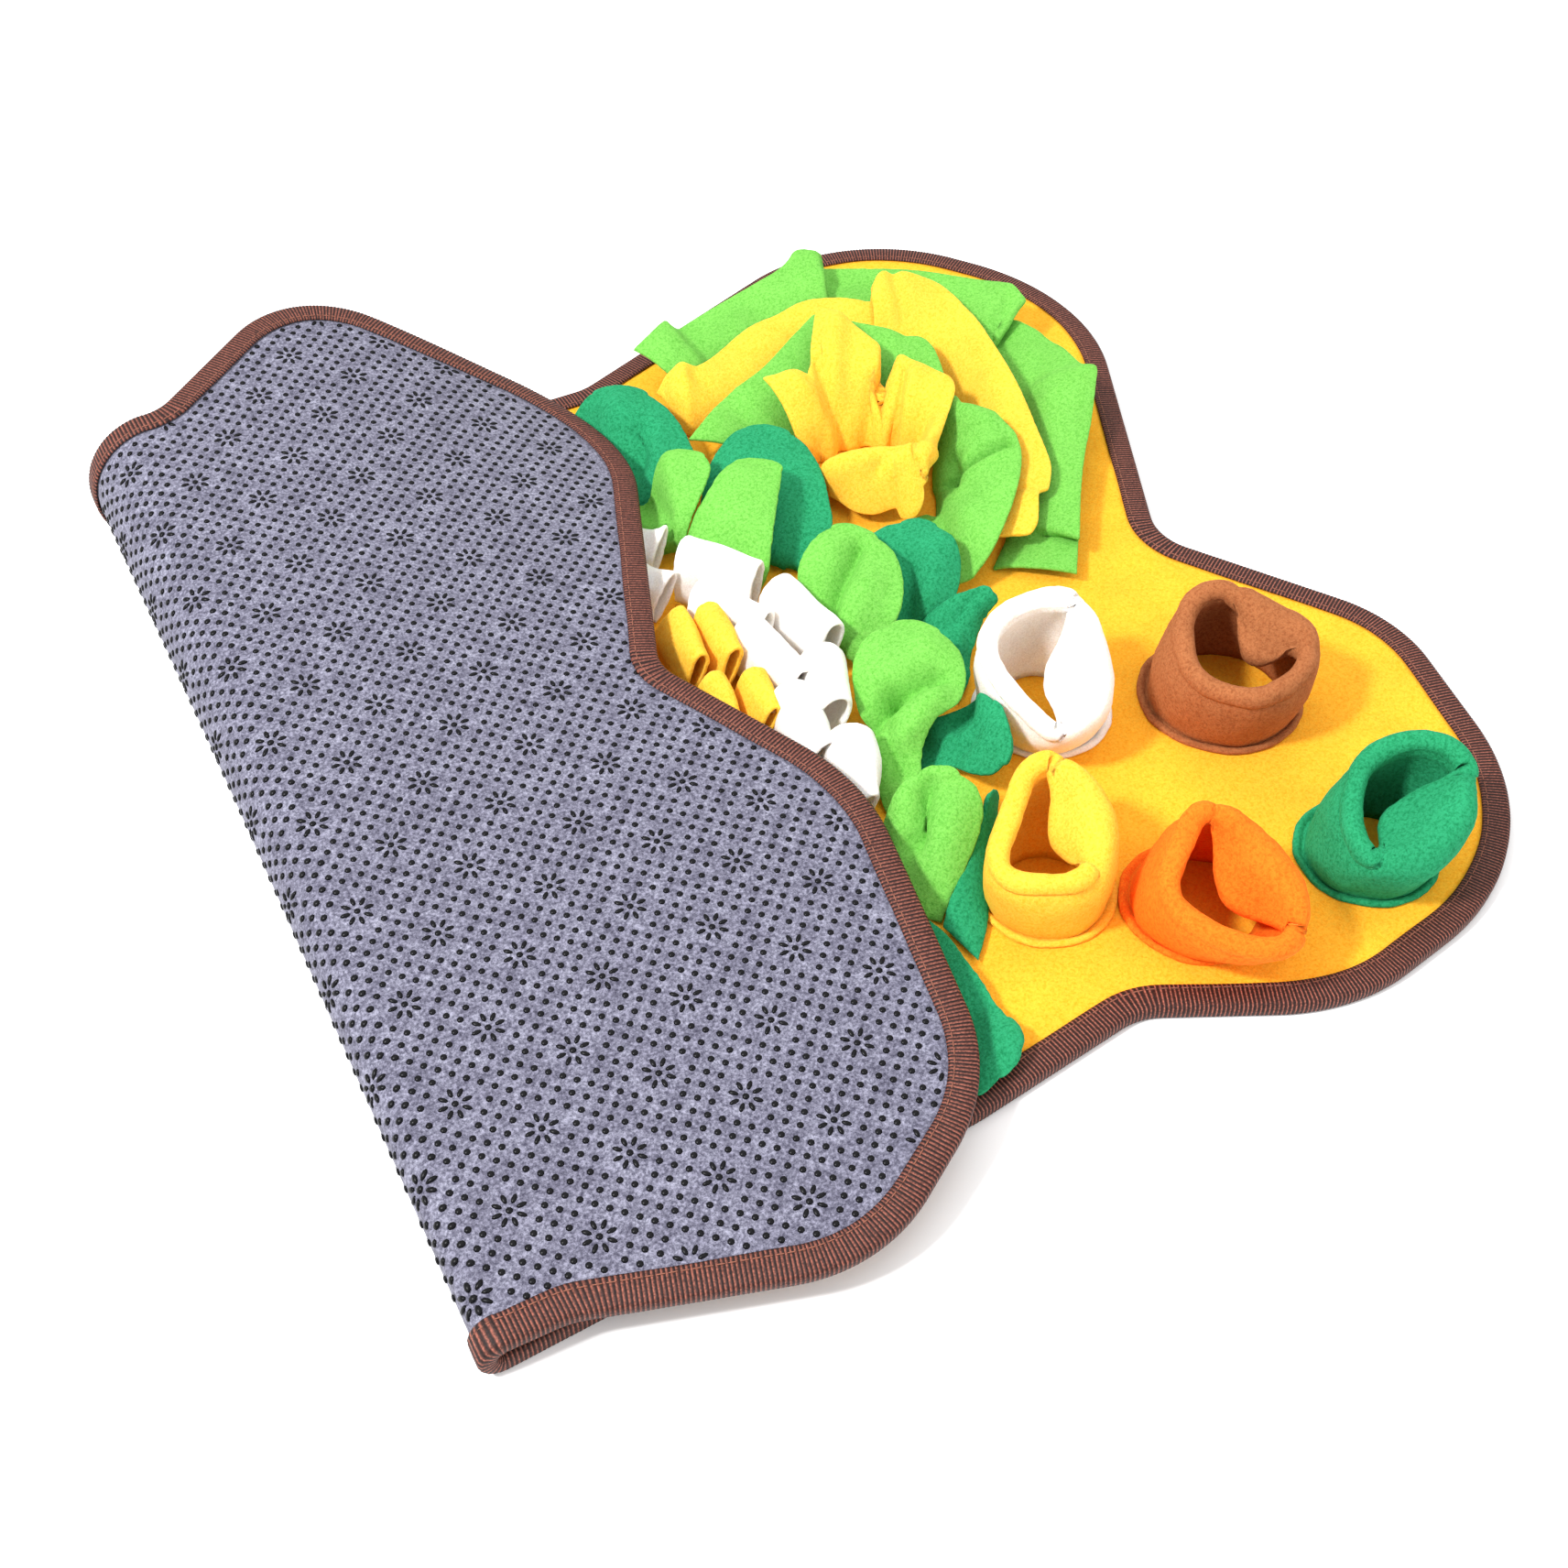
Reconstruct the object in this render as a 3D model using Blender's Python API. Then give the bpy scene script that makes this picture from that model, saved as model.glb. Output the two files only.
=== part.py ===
"""A snuffle mat for dogs: a bone-shaped pad of golden fleece on non-slip felt, bound with webbing and folded once
across its width. A daisy of loops and petals, a rosette of strips and five cups are sewn to the fleece.

Sizes are in millimetres and MM turns them into metres. X runs across the fold, Y along it and +Z is up. The tables
measure from the middle of the unfolded pad, on the floor. The half at +X lies on the floor with its fleece up, and
the other half is folded over it, felt up. At the end everything is moved so that the origin is the middle of the
folded mat's box, on the floor.
"""

import math
from collections import namedtuple

import bmesh
import bpy
from mathutils import Matrix, Vector

MM = 0.001

# The pad's layers, from the floor up where it lies.
BINDING_THICK = 1.0
BINDING_WIDTH = 10.5
FELT_THICK = 1.6
FLEECE_THICK = 1.6
GAP = 0.3
BINDING_GAP = 0.5
HALF_GAP = GAP / 2
FELT_FACE = HALF_GAP + FELT_THICK
FLEECE_FACE = HALF_GAP + FLEECE_THICK
BINDING_FACE = FELT_FACE + BINDING_GAP + BINDING_THICK
PAD_MIDDLE = BINDING_FACE
SEWN_FACE = PAD_MIDDLE + FLEECE_FACE + GAP

# The pad's outline laid flat: corners joined by straight stretches and rounded to their radius.
Corner = namedtuple("Corner", "name x y radius")
CORNERS = (
    Corner("notch between the lying lobes", 279, -14, 24),
    Corner("rosette lobe, outer", 359, 152, 104),
    Corner("rosette lobe, inner", 283, 263, 82),
    Corner("waist beside the rosette lobe", 112, 199, 25),
    Corner("waist beside the far flap lobe", -168, 204, 20),
    Corner("far flap lobe, inner", -244, 262, 44),
    Corner("far flap lobe, outer", -353, 148, 85),
    Corner("notch between the flap lobes", -289, -11, 18),
    Corner("near flap lobe, outer", -328, -96, 85),
    Corner("near flap lobe, tip", -304, -222, 62),
    Corner("near flap lobe, inner", -240, -260, 60),
    Corner("waist beside the near flap lobe", -150, -230, 35),
    Corner("waist under the flap", 56, -223, 80),
    Corner("waist beside the cup lobe", 126, -214, 25),
    Corner("cup lobe, inner", 192, -248, 80),
    Corner("cup lobe, tip", 305, -228, 100),
    Corner("cup lobe, outer", 334, -103, 60),
)
OUTLINE_STEP = 9.0

# The fold: its line on the flat pad, and how high the felt on top stands at, halfway along and at the end of the flap.
FOLD_X = -121.0
MIDDLE_REACH = 110.0
EDGE_REACH = 200.0
Section = namedtuple("Section", "y crown middle edge")
SECTIONS = (
    Section(-215, 17.0, 20.0, 21.0),
    Section(-107, 29.0, 31.0, 30.0),
    Section(13, 41.5, 38.5, 30.0),
    Section(133, 51.0, 46.0, 27.0),
    Section(235, 58.0, 57.0, 28.0),
)
FOLD_STEP = 5.0
FOLD_HALF = 45.0
FLAP_STEP = 26.0
ROW_STEP = 50.0
EDGE_STRIP = 13.0

# What is sewn on.
CLOTH = 1.8
RIM_CLEAR = 2.0
PILE_TOP = 40.0
PRESS_MARGIN = 16.0


def between(low, high, value):
    """0 below low, 1 above high and a smooth step between."""
    t = min(max((value - low) / (high - low), 0.0), 1.0)
    return t * t * (3 - 2 * t)


def smooth_rows(rows, y, column):
    """The column's value at y, on a smooth curve through the rows."""
    last = len(rows) - 1
    i = 0
    while i < last - 1 and y > rows[i + 1].y:
        i += 1
    a, b = rows[i], rows[i + 1]
    before, after = rows[max(i - 1, 0)], rows[min(i + 2, last)]
    span = b.y - a.y
    t = (y - a.y) / span
    start = (getattr(b, column) - getattr(before, column)) / (b.y - before.y) * span
    end = (getattr(after, column) - getattr(a, column)) / (after.y - a.y) * span
    if t < 0 or t > 1:
        edge, slope, past = (a, start, t) if t < 0 else (b, end, t - 1)
        return getattr(edge, column) + slope * past
    va, vb = getattr(a, column), getattr(b, column)
    return (
        va * (2 * t**3 - 3 * t**2 + 1)
        + start * (t**3 - 2 * t**2 + t)
        + vb * (3 * t**2 - 2 * t**3)
        + end * (t**3 - t**2)
    )


def rounded_outline(corners, step):
    """The closed outline through the corners, anticlockwise, each rounded to its radius."""
    points = []
    for i, corner in enumerate(corners):
        here = Vector((corner.x, corner.y))
        before, after = corners[i - 1], corners[(i + 1) % len(corners)]
        back = (Vector((before.x, before.y)) - here).normalized()
        on = (Vector((after.x, after.y)) - here).normalized()
        turn = math.pi - back.angle(on)
        reach = corner.radius * math.tan(turn / 2)
        centre = here + (back + on).normalized() * corner.radius / math.cos(turn / 2)
        first, last = here + back * reach - centre, here + on * reach - centre
        start = math.atan2(first.y, first.x)
        sweep = (math.atan2(last.y, last.x) - start + math.pi) % (2 * math.pi) - math.pi
        count = max(2, round(abs(sweep) * corner.radius / step))
        for k in range(count + 1):
            angle = start + sweep * k / count
            points.append(centre + corner.radius * Vector((math.cos(angle), math.sin(angle))))
    return points


def inset(points, distance):
    """The outline moved inwards by a distance; at the fold, straight along it."""
    moved = []
    for i, point in enumerate(points):
        before = (point - points[i - 1]).normalized()
        along = (before + (points[(i + 1) % len(points)] - point).normalized()).normalized()
        inward = Vector((-along.y, along.x))
        if abs(point.x - FOLD_X) < FOLD_HALF:
            share = between(FOLD_HALF - 15, FOLD_HALF, abs(point.x - FOLD_X))
            inward = Vector((0, 1 / inward.y)).lerp(inward, share)
        moved.append(point + inward * distance)
    return moved


def fold_radius(y):
    """The radius of the fold's curve at the pad's middle surface."""
    return (smooth_rows(SECTIONS, y, "crown") - FELT_FACE - PAD_MIDDLE) / 2


def flap_height(reach, y):
    """The height of the flap's middle surface, at a reach from the fold line."""
    radius = fold_radius(y)
    flat_start = math.pi * radius / 2
    crown = PAD_MIDDLE + 2 * radius
    past = max(reach - flat_start, 0.0)
    middle, edge = MIDDLE_REACH - flat_start, EDGE_REACH - flat_start
    rise_middle = smooth_rows(SECTIONS, y, "middle") - FELT_FACE - crown
    rise_edge = smooth_rows(SECTIONS, y, "edge") - FELT_FACE - crown
    cubic = (rise_edge / edge**2 - rise_middle / middle**2) / (edge - middle)
    square = rise_middle / middle**2 - cubic * middle
    past = min(past, edge + 20)
    return crown + square * past**2 + cubic * past**3


def folded(x, y, offset):
    """Where a point of the flat pad lies once folded. Offset is its distance from the middle surface to the felt's side."""
    w = x - FOLD_X
    radius = fold_radius(y)
    quarter = math.pi * radius / 2
    if w >= quarter:
        return Vector((x, y, PAD_MIDDLE - offset))
    if w > -quarter:
        angle = w / radius
        outer = radius + offset
        return Vector(
            (
                FOLD_X + quarter - outer * math.cos(angle),
                y,
                PAD_MIDDLE + radius - outer * math.sin(angle),
            )
        )
    here = flap_height(-w, y)
    across = flap_height(-w + 1, y) - here
    along = flap_height(-w, y + 1) - here
    normal = Vector((-across, -along, 1)).normalized()
    return Vector((FOLD_X - w, y, here)) + normal * offset


def lines(start, end, step):
    """Evenly spaced values from start to end, no further apart than step."""
    count = math.ceil((end - start) / step)
    return [start + (end - start) * k / count for k in range(count + 1)]


def fold_lines():
    """Where the pad's meshes are cut across, close together in the fold."""
    near = lines(FOLD_X - FOLD_HALF, FOLD_X + FOLD_HALF, FOLD_STEP)
    return lines(-350, FOLD_X - FOLD_HALF, FLAP_STEP)[1:-1] + near


def with_crossings(points, cuts):
    """The closed outline with a point added wherever it crosses one of the lines x = cut."""
    full = []
    for i, a in enumerate(points):
        b = points[(i + 1) % len(points)]
        full.append(a)
        shares = [(cut - a.x) / (b.x - a.x) for cut in cuts if (cut - a.x) * (b.x - cut) > 0]
        full += [a.lerp(b, share) for share in sorted(shares) if 0.02 < share < 0.98]
    return full


OUTLINE = rounded_outline(CORNERS, OUTLINE_STEP)
EDGE = with_crossings(OUTLINE, fold_lines())


def new_object(name, vertices, faces, colour):
    """A closed mesh in metres, facing out, with a cloth material of its own."""
    mesh = bpy.data.meshes.new(name)
    mesh.from_pydata([v * MM for v in vertices], [], faces)
    working = bmesh.new()
    working.from_mesh(mesh)
    bmesh.ops.recalc_face_normals(working, faces=working.faces[:])
    if working.calc_volume(signed=True) < 0:
        bmesh.ops.reverse_faces(working, faces=working.faces[:])
    working.to_mesh(mesh)
    working.free()
    mesh.shade_smooth()
    mesh.set_sharp_from_angle(angle=math.radians(40))
    material = bpy.data.materials.new(name)
    material.use_nodes = True
    shader = material.node_tree.nodes["Principled BSDF"]
    shader.inputs["Base Color"].default_value = (*colour, 1)
    shader.inputs["Roughness"].default_value = 0.95
    mesh.materials.append(material)
    obj = bpy.data.objects.new(name, mesh)
    bpy.context.scene.collection.objects.link(obj)
    return obj


def pad_sheet(name, near_face, far_face, colour):
    """One of the pad's two layers, between two offsets from its middle surface."""
    flat = bmesh.new()
    outer = [flat.verts.new((p.x, p.y, 0)) for p in inset(EDGE, BINDING_THICK + BINDING_GAP)]
    inner = [flat.verts.new((p.x, p.y, 0)) for p in inset(EDGE, EDGE_STRIP)]
    flat.faces.new(inner)
    for i in range(len(EDGE)):
        flat.faces.new([outer[i - 1], outer[i], inner[i], inner[i - 1]])
    rows = lines(-270, 270, ROW_STEP)
    cuts = [((x, 0, 0), (1, 0, 0)) for x in fold_lines()] + [((0, y, 0), (0, 1, 0)) for y in rows]
    for place, normal in cuts:
        everything = flat.verts[:] + flat.edges[:] + flat.faces[:]
        bmesh.ops.bisect_plane(flat, geom=everything, dist=0.01, plane_co=place, plane_no=normal)
    bmesh.ops.dissolve_edges(flat, edges=[e for e in flat.edges if on_floor(e)], use_verts=False)
    bmesh.ops.triangulate(flat, faces=flat.faces[:])
    flat.verts.index_update()
    count = len(flat.verts)
    places = [(v.co.x, v.co.y) for v in flat.verts]
    vertices = [folded(x, y, far_face) for x, y in places] + [folded(x, y, near_face) for x, y in places]
    faces = []
    for face in flat.faces:
        corners = [v.index for v in face.verts]
        faces.append(corners)
        faces.append([count + v for v in reversed(corners)])
    for side in flat.edges:
        if len(side.link_faces) == 1:
            a, b = (v.index for v in side.verts)
            faces.append([a, b, count + b, count + a])
    flat.free()
    return new_object(name, vertices, faces, colour)


def on_floor(edge):
    """Whether an inner edge of the flat mesh lies wholly in the half that stays flat on the floor."""
    flat_from = FOLD_X + FOLD_HALF + 1
    return len(edge.link_faces) == 2 and all(v.co.x > flat_from for v in edge.verts)


def edge_binding(name, colour):
    """The webbing folded round the pad's edge: a C-shaped section carried along the outline."""
    outer, inner, reach = BINDING_FACE, BINDING_FACE - BINDING_THICK, BINDING_WIDTH
    bevel = 0.7
    section = (
        (0, outer - bevel),
        (bevel, outer),
        (reach, outer),
        (reach, inner),
        (BINDING_THICK, inner),
        (BINDING_THICK, -inner),
        (reach, -inner),
        (reach, -outer),
        (bevel, -outer),
        (0, bevel - outer),
    )
    vertices = []
    for depth, offset in section:
        vertices += [folded(p.x, p.y, offset) for p in inset(EDGE, depth)]
    count, around = len(EDGE), len(section)
    faces = []
    for i in range(around):
        for k in range(count):
            here, there = i * count, (i + 1) % around * count
            on = (k + 1) % count
            faces.append([here + k, here + on, there + on, there + k])
    return new_object(name, vertices, faces, colour)


def cloth_solid(name, grid, colour, closed=False, thick=CLOTH):
    """A sheet of cloth from a grid of points on its middle surface, thickened both ways. Closed joins its last row to its first."""
    rows, columns = len(grid), len(grid[0])

    def normal(i, k):
        if closed:
            down = grid[(i + 1) % rows][k] - grid[i - 1][k]
        else:
            down = grid[min(i + 1, rows - 1)][k] - grid[max(i - 1, 0)][k]
        over = grid[i][min(k + 1, columns - 1)] - grid[i][max(k - 1, 0)]
        return down.cross(over).normalized()

    front = [grid[i][k] + normal(i, k) * thick / 2 for i in range(rows) for k in range(columns)]
    back = [grid[i][k] - normal(i, k) * thick / 2 for i in range(rows) for k in range(columns)]
    count = len(front)
    for v in front + back:
        v.z = max(v.z, SEWN_FACE)
    faces = []
    spans = rows if closed else rows - 1
    for i in range(spans):
        on = (i + 1) % rows * columns
        here = i * columns
        for k in range(columns - 1):
            quad = [here + k, on + k, on + k + 1, here + k + 1]
            faces.append(quad)
            faces.append([count + v for v in reversed(quad)])
        for k in (0, columns - 1):
            faces.append([here + k, on + k, count + on + k, count + here + k])
    if not closed:
        for row in (0, (rows - 1) * columns):
            for k in range(columns - 1):
                faces.append([row + k, row + k + 1, count + row + k + 1, count + row + k])
    return new_object(name, front + back, faces, colour)


def flap_cover(x, y):
    """How far a point on the floor is inside the flap's edge, seen from above; less than 0 outside it."""
    place = Vector((2 * FOLD_X - x, y))
    nearest, inside = 1e9, False
    for i, b in enumerate(OUTLINE):
        a = OUTLINE[i - 1]
        along = b - a
        share = min(max((place - a).dot(along) / along.length_squared, 0), 1)
        nearest = min(nearest, (place - a - along * share).length)
        if (a.y > place.y) != (b.y > place.y) and place.x < a.x + along.x * (place.y - a.y) / along.y:
            inside = not inside
    return nearest if inside else -nearest


def pressed(point):
    """The point, pushed down where the flap lies over it."""
    cover = between(-PRESS_MARGIN, 0, flap_cover(point.x, point.y))
    if cover == 0:
        return point
    ceiling = flap_height(point.x - FOLD_X, point.y) - BINDING_FACE - RIM_CLEAR - CLOTH / 2
    full, room = PILE_TOP - SEWN_FACE, min(ceiling, PILE_TOP) - SEWN_FACE
    height = max(point.z - SEWN_FACE, 0)
    squeezed = height / (1 + height * (1 / room - 1 / full))
    return Vector((point.x, point.y, SEWN_FACE + height + cover * (squeezed - height)))


# Colours, as the dyed cloth shows them.
GOLD = (0.95, 0.55, 0.03)
YELLOW = (0.98, 0.78, 0.05)
LIGHT_GREEN = (0.32, 0.70, 0.08)
DARK_GREEN = (0.0, 0.28, 0.10)
WHITE = (0.9, 0.9, 0.88)
ORANGE = (0.95, 0.22, 0.02)
BROWN = (0.30, 0.14, 0.07)
WEBBING = (0.16, 0.06, 0.035)
FELT_GREY = (0.30, 0.30, 0.40)

# The cups: where each stands and the radius of its foot, the half sizes of its oval mouth, how far the mouth leans
# and how much higher its far side is, and where, how deep and how widely its wall is pushed in.
Cup = namedtuple("Cup", "name colour x y foot long short lean_x lean_y height far push_at push push_wide")
CUPS = (
    Cup("cup_white", WHITE, 178, -77, 21, 28, 20.5, -8, -2, 40, 9, -35, 16, 36),
    Cup("cup_brown", BROWN, 243, -104, 27, 26, 25, 0, -4, 41, 3, 25, 11, 40),
    Cup("cup_yellow", YELLOW, 127, -155, 18, 27, 19, 0, 3, 41, 6, -15, 12, 34),
    Cup("cup_orange", ORANGE, 173, -186, 24, 28, 24, -7, -11, 38, 6, 22, 19, 38),
    Cup("cup_dark_green", DARK_GREEN, 239, -195, 20, 28, 23, 5, -9, 40, 6, -55, 18, 36),
)
CUP_MOUTH_TURN = 61.0
CUP_WALL = 5.6
CUP_HEM = 3.0
CUP_STEPS = 28


def cup_line(c, share, out):
    """The cup's wall seen from above, at a share of its height and a distance out from its middle."""
    line = []
    for k in range(CUP_STEPS):
        angle = 2 * math.pi * k / CUP_STEPS
        turned = angle - math.radians(CUP_MOUTH_TURN)
        oval = c.long * c.short / math.hypot(c.short * math.cos(turned), c.long * math.sin(turned))
        away = (math.degrees(angle) - c.push_at + 180) % 360 - 180
        oval -= c.push * math.exp(-((away / c.push_wide) ** 2)) * share
        radius = c.foot * (1 - share) + oval * share
        line.append(Vector((radius * math.cos(angle), radius * math.sin(angle))))
    shift = Vector((c.x + c.lean_x * share, c.y + c.lean_y * share))
    moved = []
    for k, point in enumerate(line):
        along = (line[(k + 1) % CUP_STEPS] - line[k - 1]).normalized()
        moved.append(shift + point + Vector((along.y, -along.x)) * out)
    return moved


def cup(c):
    """A tube of doubled fleece: a stitched hem at the foot, a rolled rim, and a mouth pushed out of round."""
    half, top = CUP_WALL / 2, c.height
    section = (
        (CUP_HEM + half, 0.0),
        (CUP_HEM + half, 1.8),
        (half, 3.0),
        (half, top * 0.6),
        (half * 0.9, top - 1.5),
        (0.0, top),
        (-half * 0.9, top - 1.5),
        (-half, top * 0.55),
        (-half, 0.0),
    )
    vertices = []
    for out, height in section:
        share = between(0.0, 1.0, height / top)
        for k, p in enumerate(cup_line(c, share, out)):
            far = c.far * share * math.cos(2 * math.pi * k / CUP_STEPS - math.radians(CUP_MOUTH_TURN))
            vertices.append(Vector((p.x, p.y, SEWN_FACE + height + far)))
    faces = []
    for i in range(len(section)):
        here, there = i * CUP_STEPS, (i + 1) % len(section) * CUP_STEPS
        for k in range(CUP_STEPS):
            on = (k + 1) % CUP_STEPS
            faces.append([here + k, here + on, there + on, there + k])
    return new_object(c.name, vertices, faces, c.colour)


# The daisy's petals: where each is sewn down, where its tip ends and how high, how far its middle arches above the
# line between them, its width, the depth of its crease and how much higher its left side stands than its right.
Petal = namedtuple("Petal", "name colour x y tip_x tip_y tip_z arch width crease tilt")
PETALS = (
    Petal("petal_light_a", LIGHT_GREEN, 88, 66, 119, 103, 33, 8, 39, 4, -8),
    Petal("petal_light_b", LIGHT_GREEN, 107, 46, 144, 80, 36, 8, 40, 4, -10),
    Petal("petal_light_c", LIGHT_GREEN, 118, -19, 156, 13, 35, 10, 46, 4, -6),
    Petal("petal_light_d", LIGHT_GREEN, 105, -72, 145, -47, 36, 10, 46, 4, -6),
    Petal("petal_light_e", LIGHT_GREEN, 84, -140, 109, -106, 34, 10, 36, 4, 3),
    Petal("petal_light_f", LIGHT_GREEN, 48, -122, 60, -150, 20, 4, 34, 3, 0),
    Petal("petal_light_g", LIGHT_GREEN, 58, 92, 70, 130, 24, 4, 34, 3, 0),
    Petal("petal_dark_a", DARK_GREEN, 90, 102, 116, 163, 24, 6, 54, 4, 0),
    Petal("petal_dark_b", DARK_GREEN, 128, 42, 160, 108, 25, 8, 50, 4, -4),
    Petal("petal_dark_c", DARK_GREEN, 150, -24, 186, 24, 27, 8, 44, 4, -3),
    Petal("petal_dark_d", DARK_GREEN, 146, -33, 186, -32, 26, 6, 22, 5, 0),
    Petal("petal_dark_e", DARK_GREEN, 120, -105, 144, -96, 25, 6, 30, 3, 5),
    Petal("petal_dark_f", DARK_GREEN, 97, -150, 100, -153, 22, 0, 42, 2, 0),
    Petal("petal_dark_g", DARK_GREEN, 62, -158, 78, -211, 12, 4, 50, 2, 0),
)
PETAL_SHARES = (0.0, 0.2, 0.42, 0.64, 0.82, 0.94, 1.0)
PETAL_COLUMNS = 5
PETAL_STEM = 0.68


def petal(p):
    """A tongue of fleece with a round head, sewn at its foot, arching up and out to its tip."""
    reach = Vector((p.tip_x - p.x, p.tip_y - p.y, 0))
    out = reach.normalized()
    side = Vector((-out.y, out.x, 0))
    foot = SEWN_FACE + CLOTH / 2
    head = p.width / 2 / math.hypot(reach.length, p.tip_z - foot)
    grid = []
    for share in PETAL_SHARES:
        height = foot + (p.tip_z - foot) * share + 4 * p.arch * share * (1 - share)
        slope = math.atan2(p.tip_z - foot + 4 * p.arch * (1 - 2 * share), reach.length)
        into_head = max(share - (1 - head), 0) / head
        half = p.width / 2 * (PETAL_STEM + (1 - PETAL_STEM) * between(0.1, 0.55, share))
        half *= math.sqrt(max(1 - into_head**2, 0.06))
        across = Vector((0, 0, math.cos(slope))) - out * math.sin(slope)
        freed = between(0, 0.4, share)
        row = []
        for k in range(PETAL_COLUMNS):
            t = 2 * k / (PETAL_COLUMNS - 1) - 1
            bend = p.crease * (t * t - 0.4) * freed + p.tilt / 2 * t * freed
            row.append(Vector((p.x, p.y, height)) + reach * share + side * half * t + across * bend)
        grid.append([pressed(v) for v in row])
    return cloth_solid(p.name, grid, p.colour)


# The daisy's loops, in rings round the pad's middle: where each ring is sewn down, where its bend is and how high
# its top stands, the strip's width, and each loop's direction in degrees from +X.
Ring = namedtuple("Ring", "name colour foot bend_at top width angles")
RINGS = (
    Ring("loop_yellow_inner", YELLOW, 62, 69.5, 28, 29, (-54, -24, 6, 36)),
    Ring("loop_yellow_outer", YELLOW, 75, 83, 30, 31, (-81, -54, -27, 0, 27)),
    Ring("loop_white_inner", WHITE, 87.5, 96.5, 28, 30, (-76, -54, -32, -10, 12, 34)),
    Ring("loop_white_outer", WHITE, 101.5, 112, 32, 33, (-66, -24, -2.5, 19.5, 41)),
    Ring("loop_white_edge", WHITE, 113, 123, 30, 32, (-45,)),
)
LOOP_BEND = 4.6
LOOP_BEND_STEPS = 5


def loop(ring, index):
    """A strip of fleece bent back on itself, both ends sewn down at its foot."""
    angle = math.radians(ring.angles[index])
    out, side = Vector((math.cos(angle), math.sin(angle), 0)), Vector((-math.sin(angle), math.cos(angle), 0))
    apart = CLOTH / 2 + GAP
    centre = Vector((ring.bend_at, ring.top - CLOTH / 2 - LOOP_BEND))
    foot = Vector((ring.foot, SEWN_FACE + CLOTH / 2))
    along = (centre - foot).normalized()
    over = Vector((-along.y, along.x))
    path = [foot + Vector((-apart, 0))]
    for k in range(LOOP_BEND_STEPS + 1):
        turn = math.pi / 2 - math.pi * k / LOOP_BEND_STEPS
        path.append(centre + (along * math.cos(turn) + over * math.sin(turn)) * LOOP_BEND)
    path.append(foot + Vector((apart, 0)))
    grid = []
    for p in path:
        row = [out * p.x + side * ring.width / 2 * t + Vector((0, 0, p.y)) for t in (-1, 0, 1)]
        grid.append([pressed(v) for v in row])
    return cloth_solid(f"{ring.name}_{index + 1}", grid, ring.colour)


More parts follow.
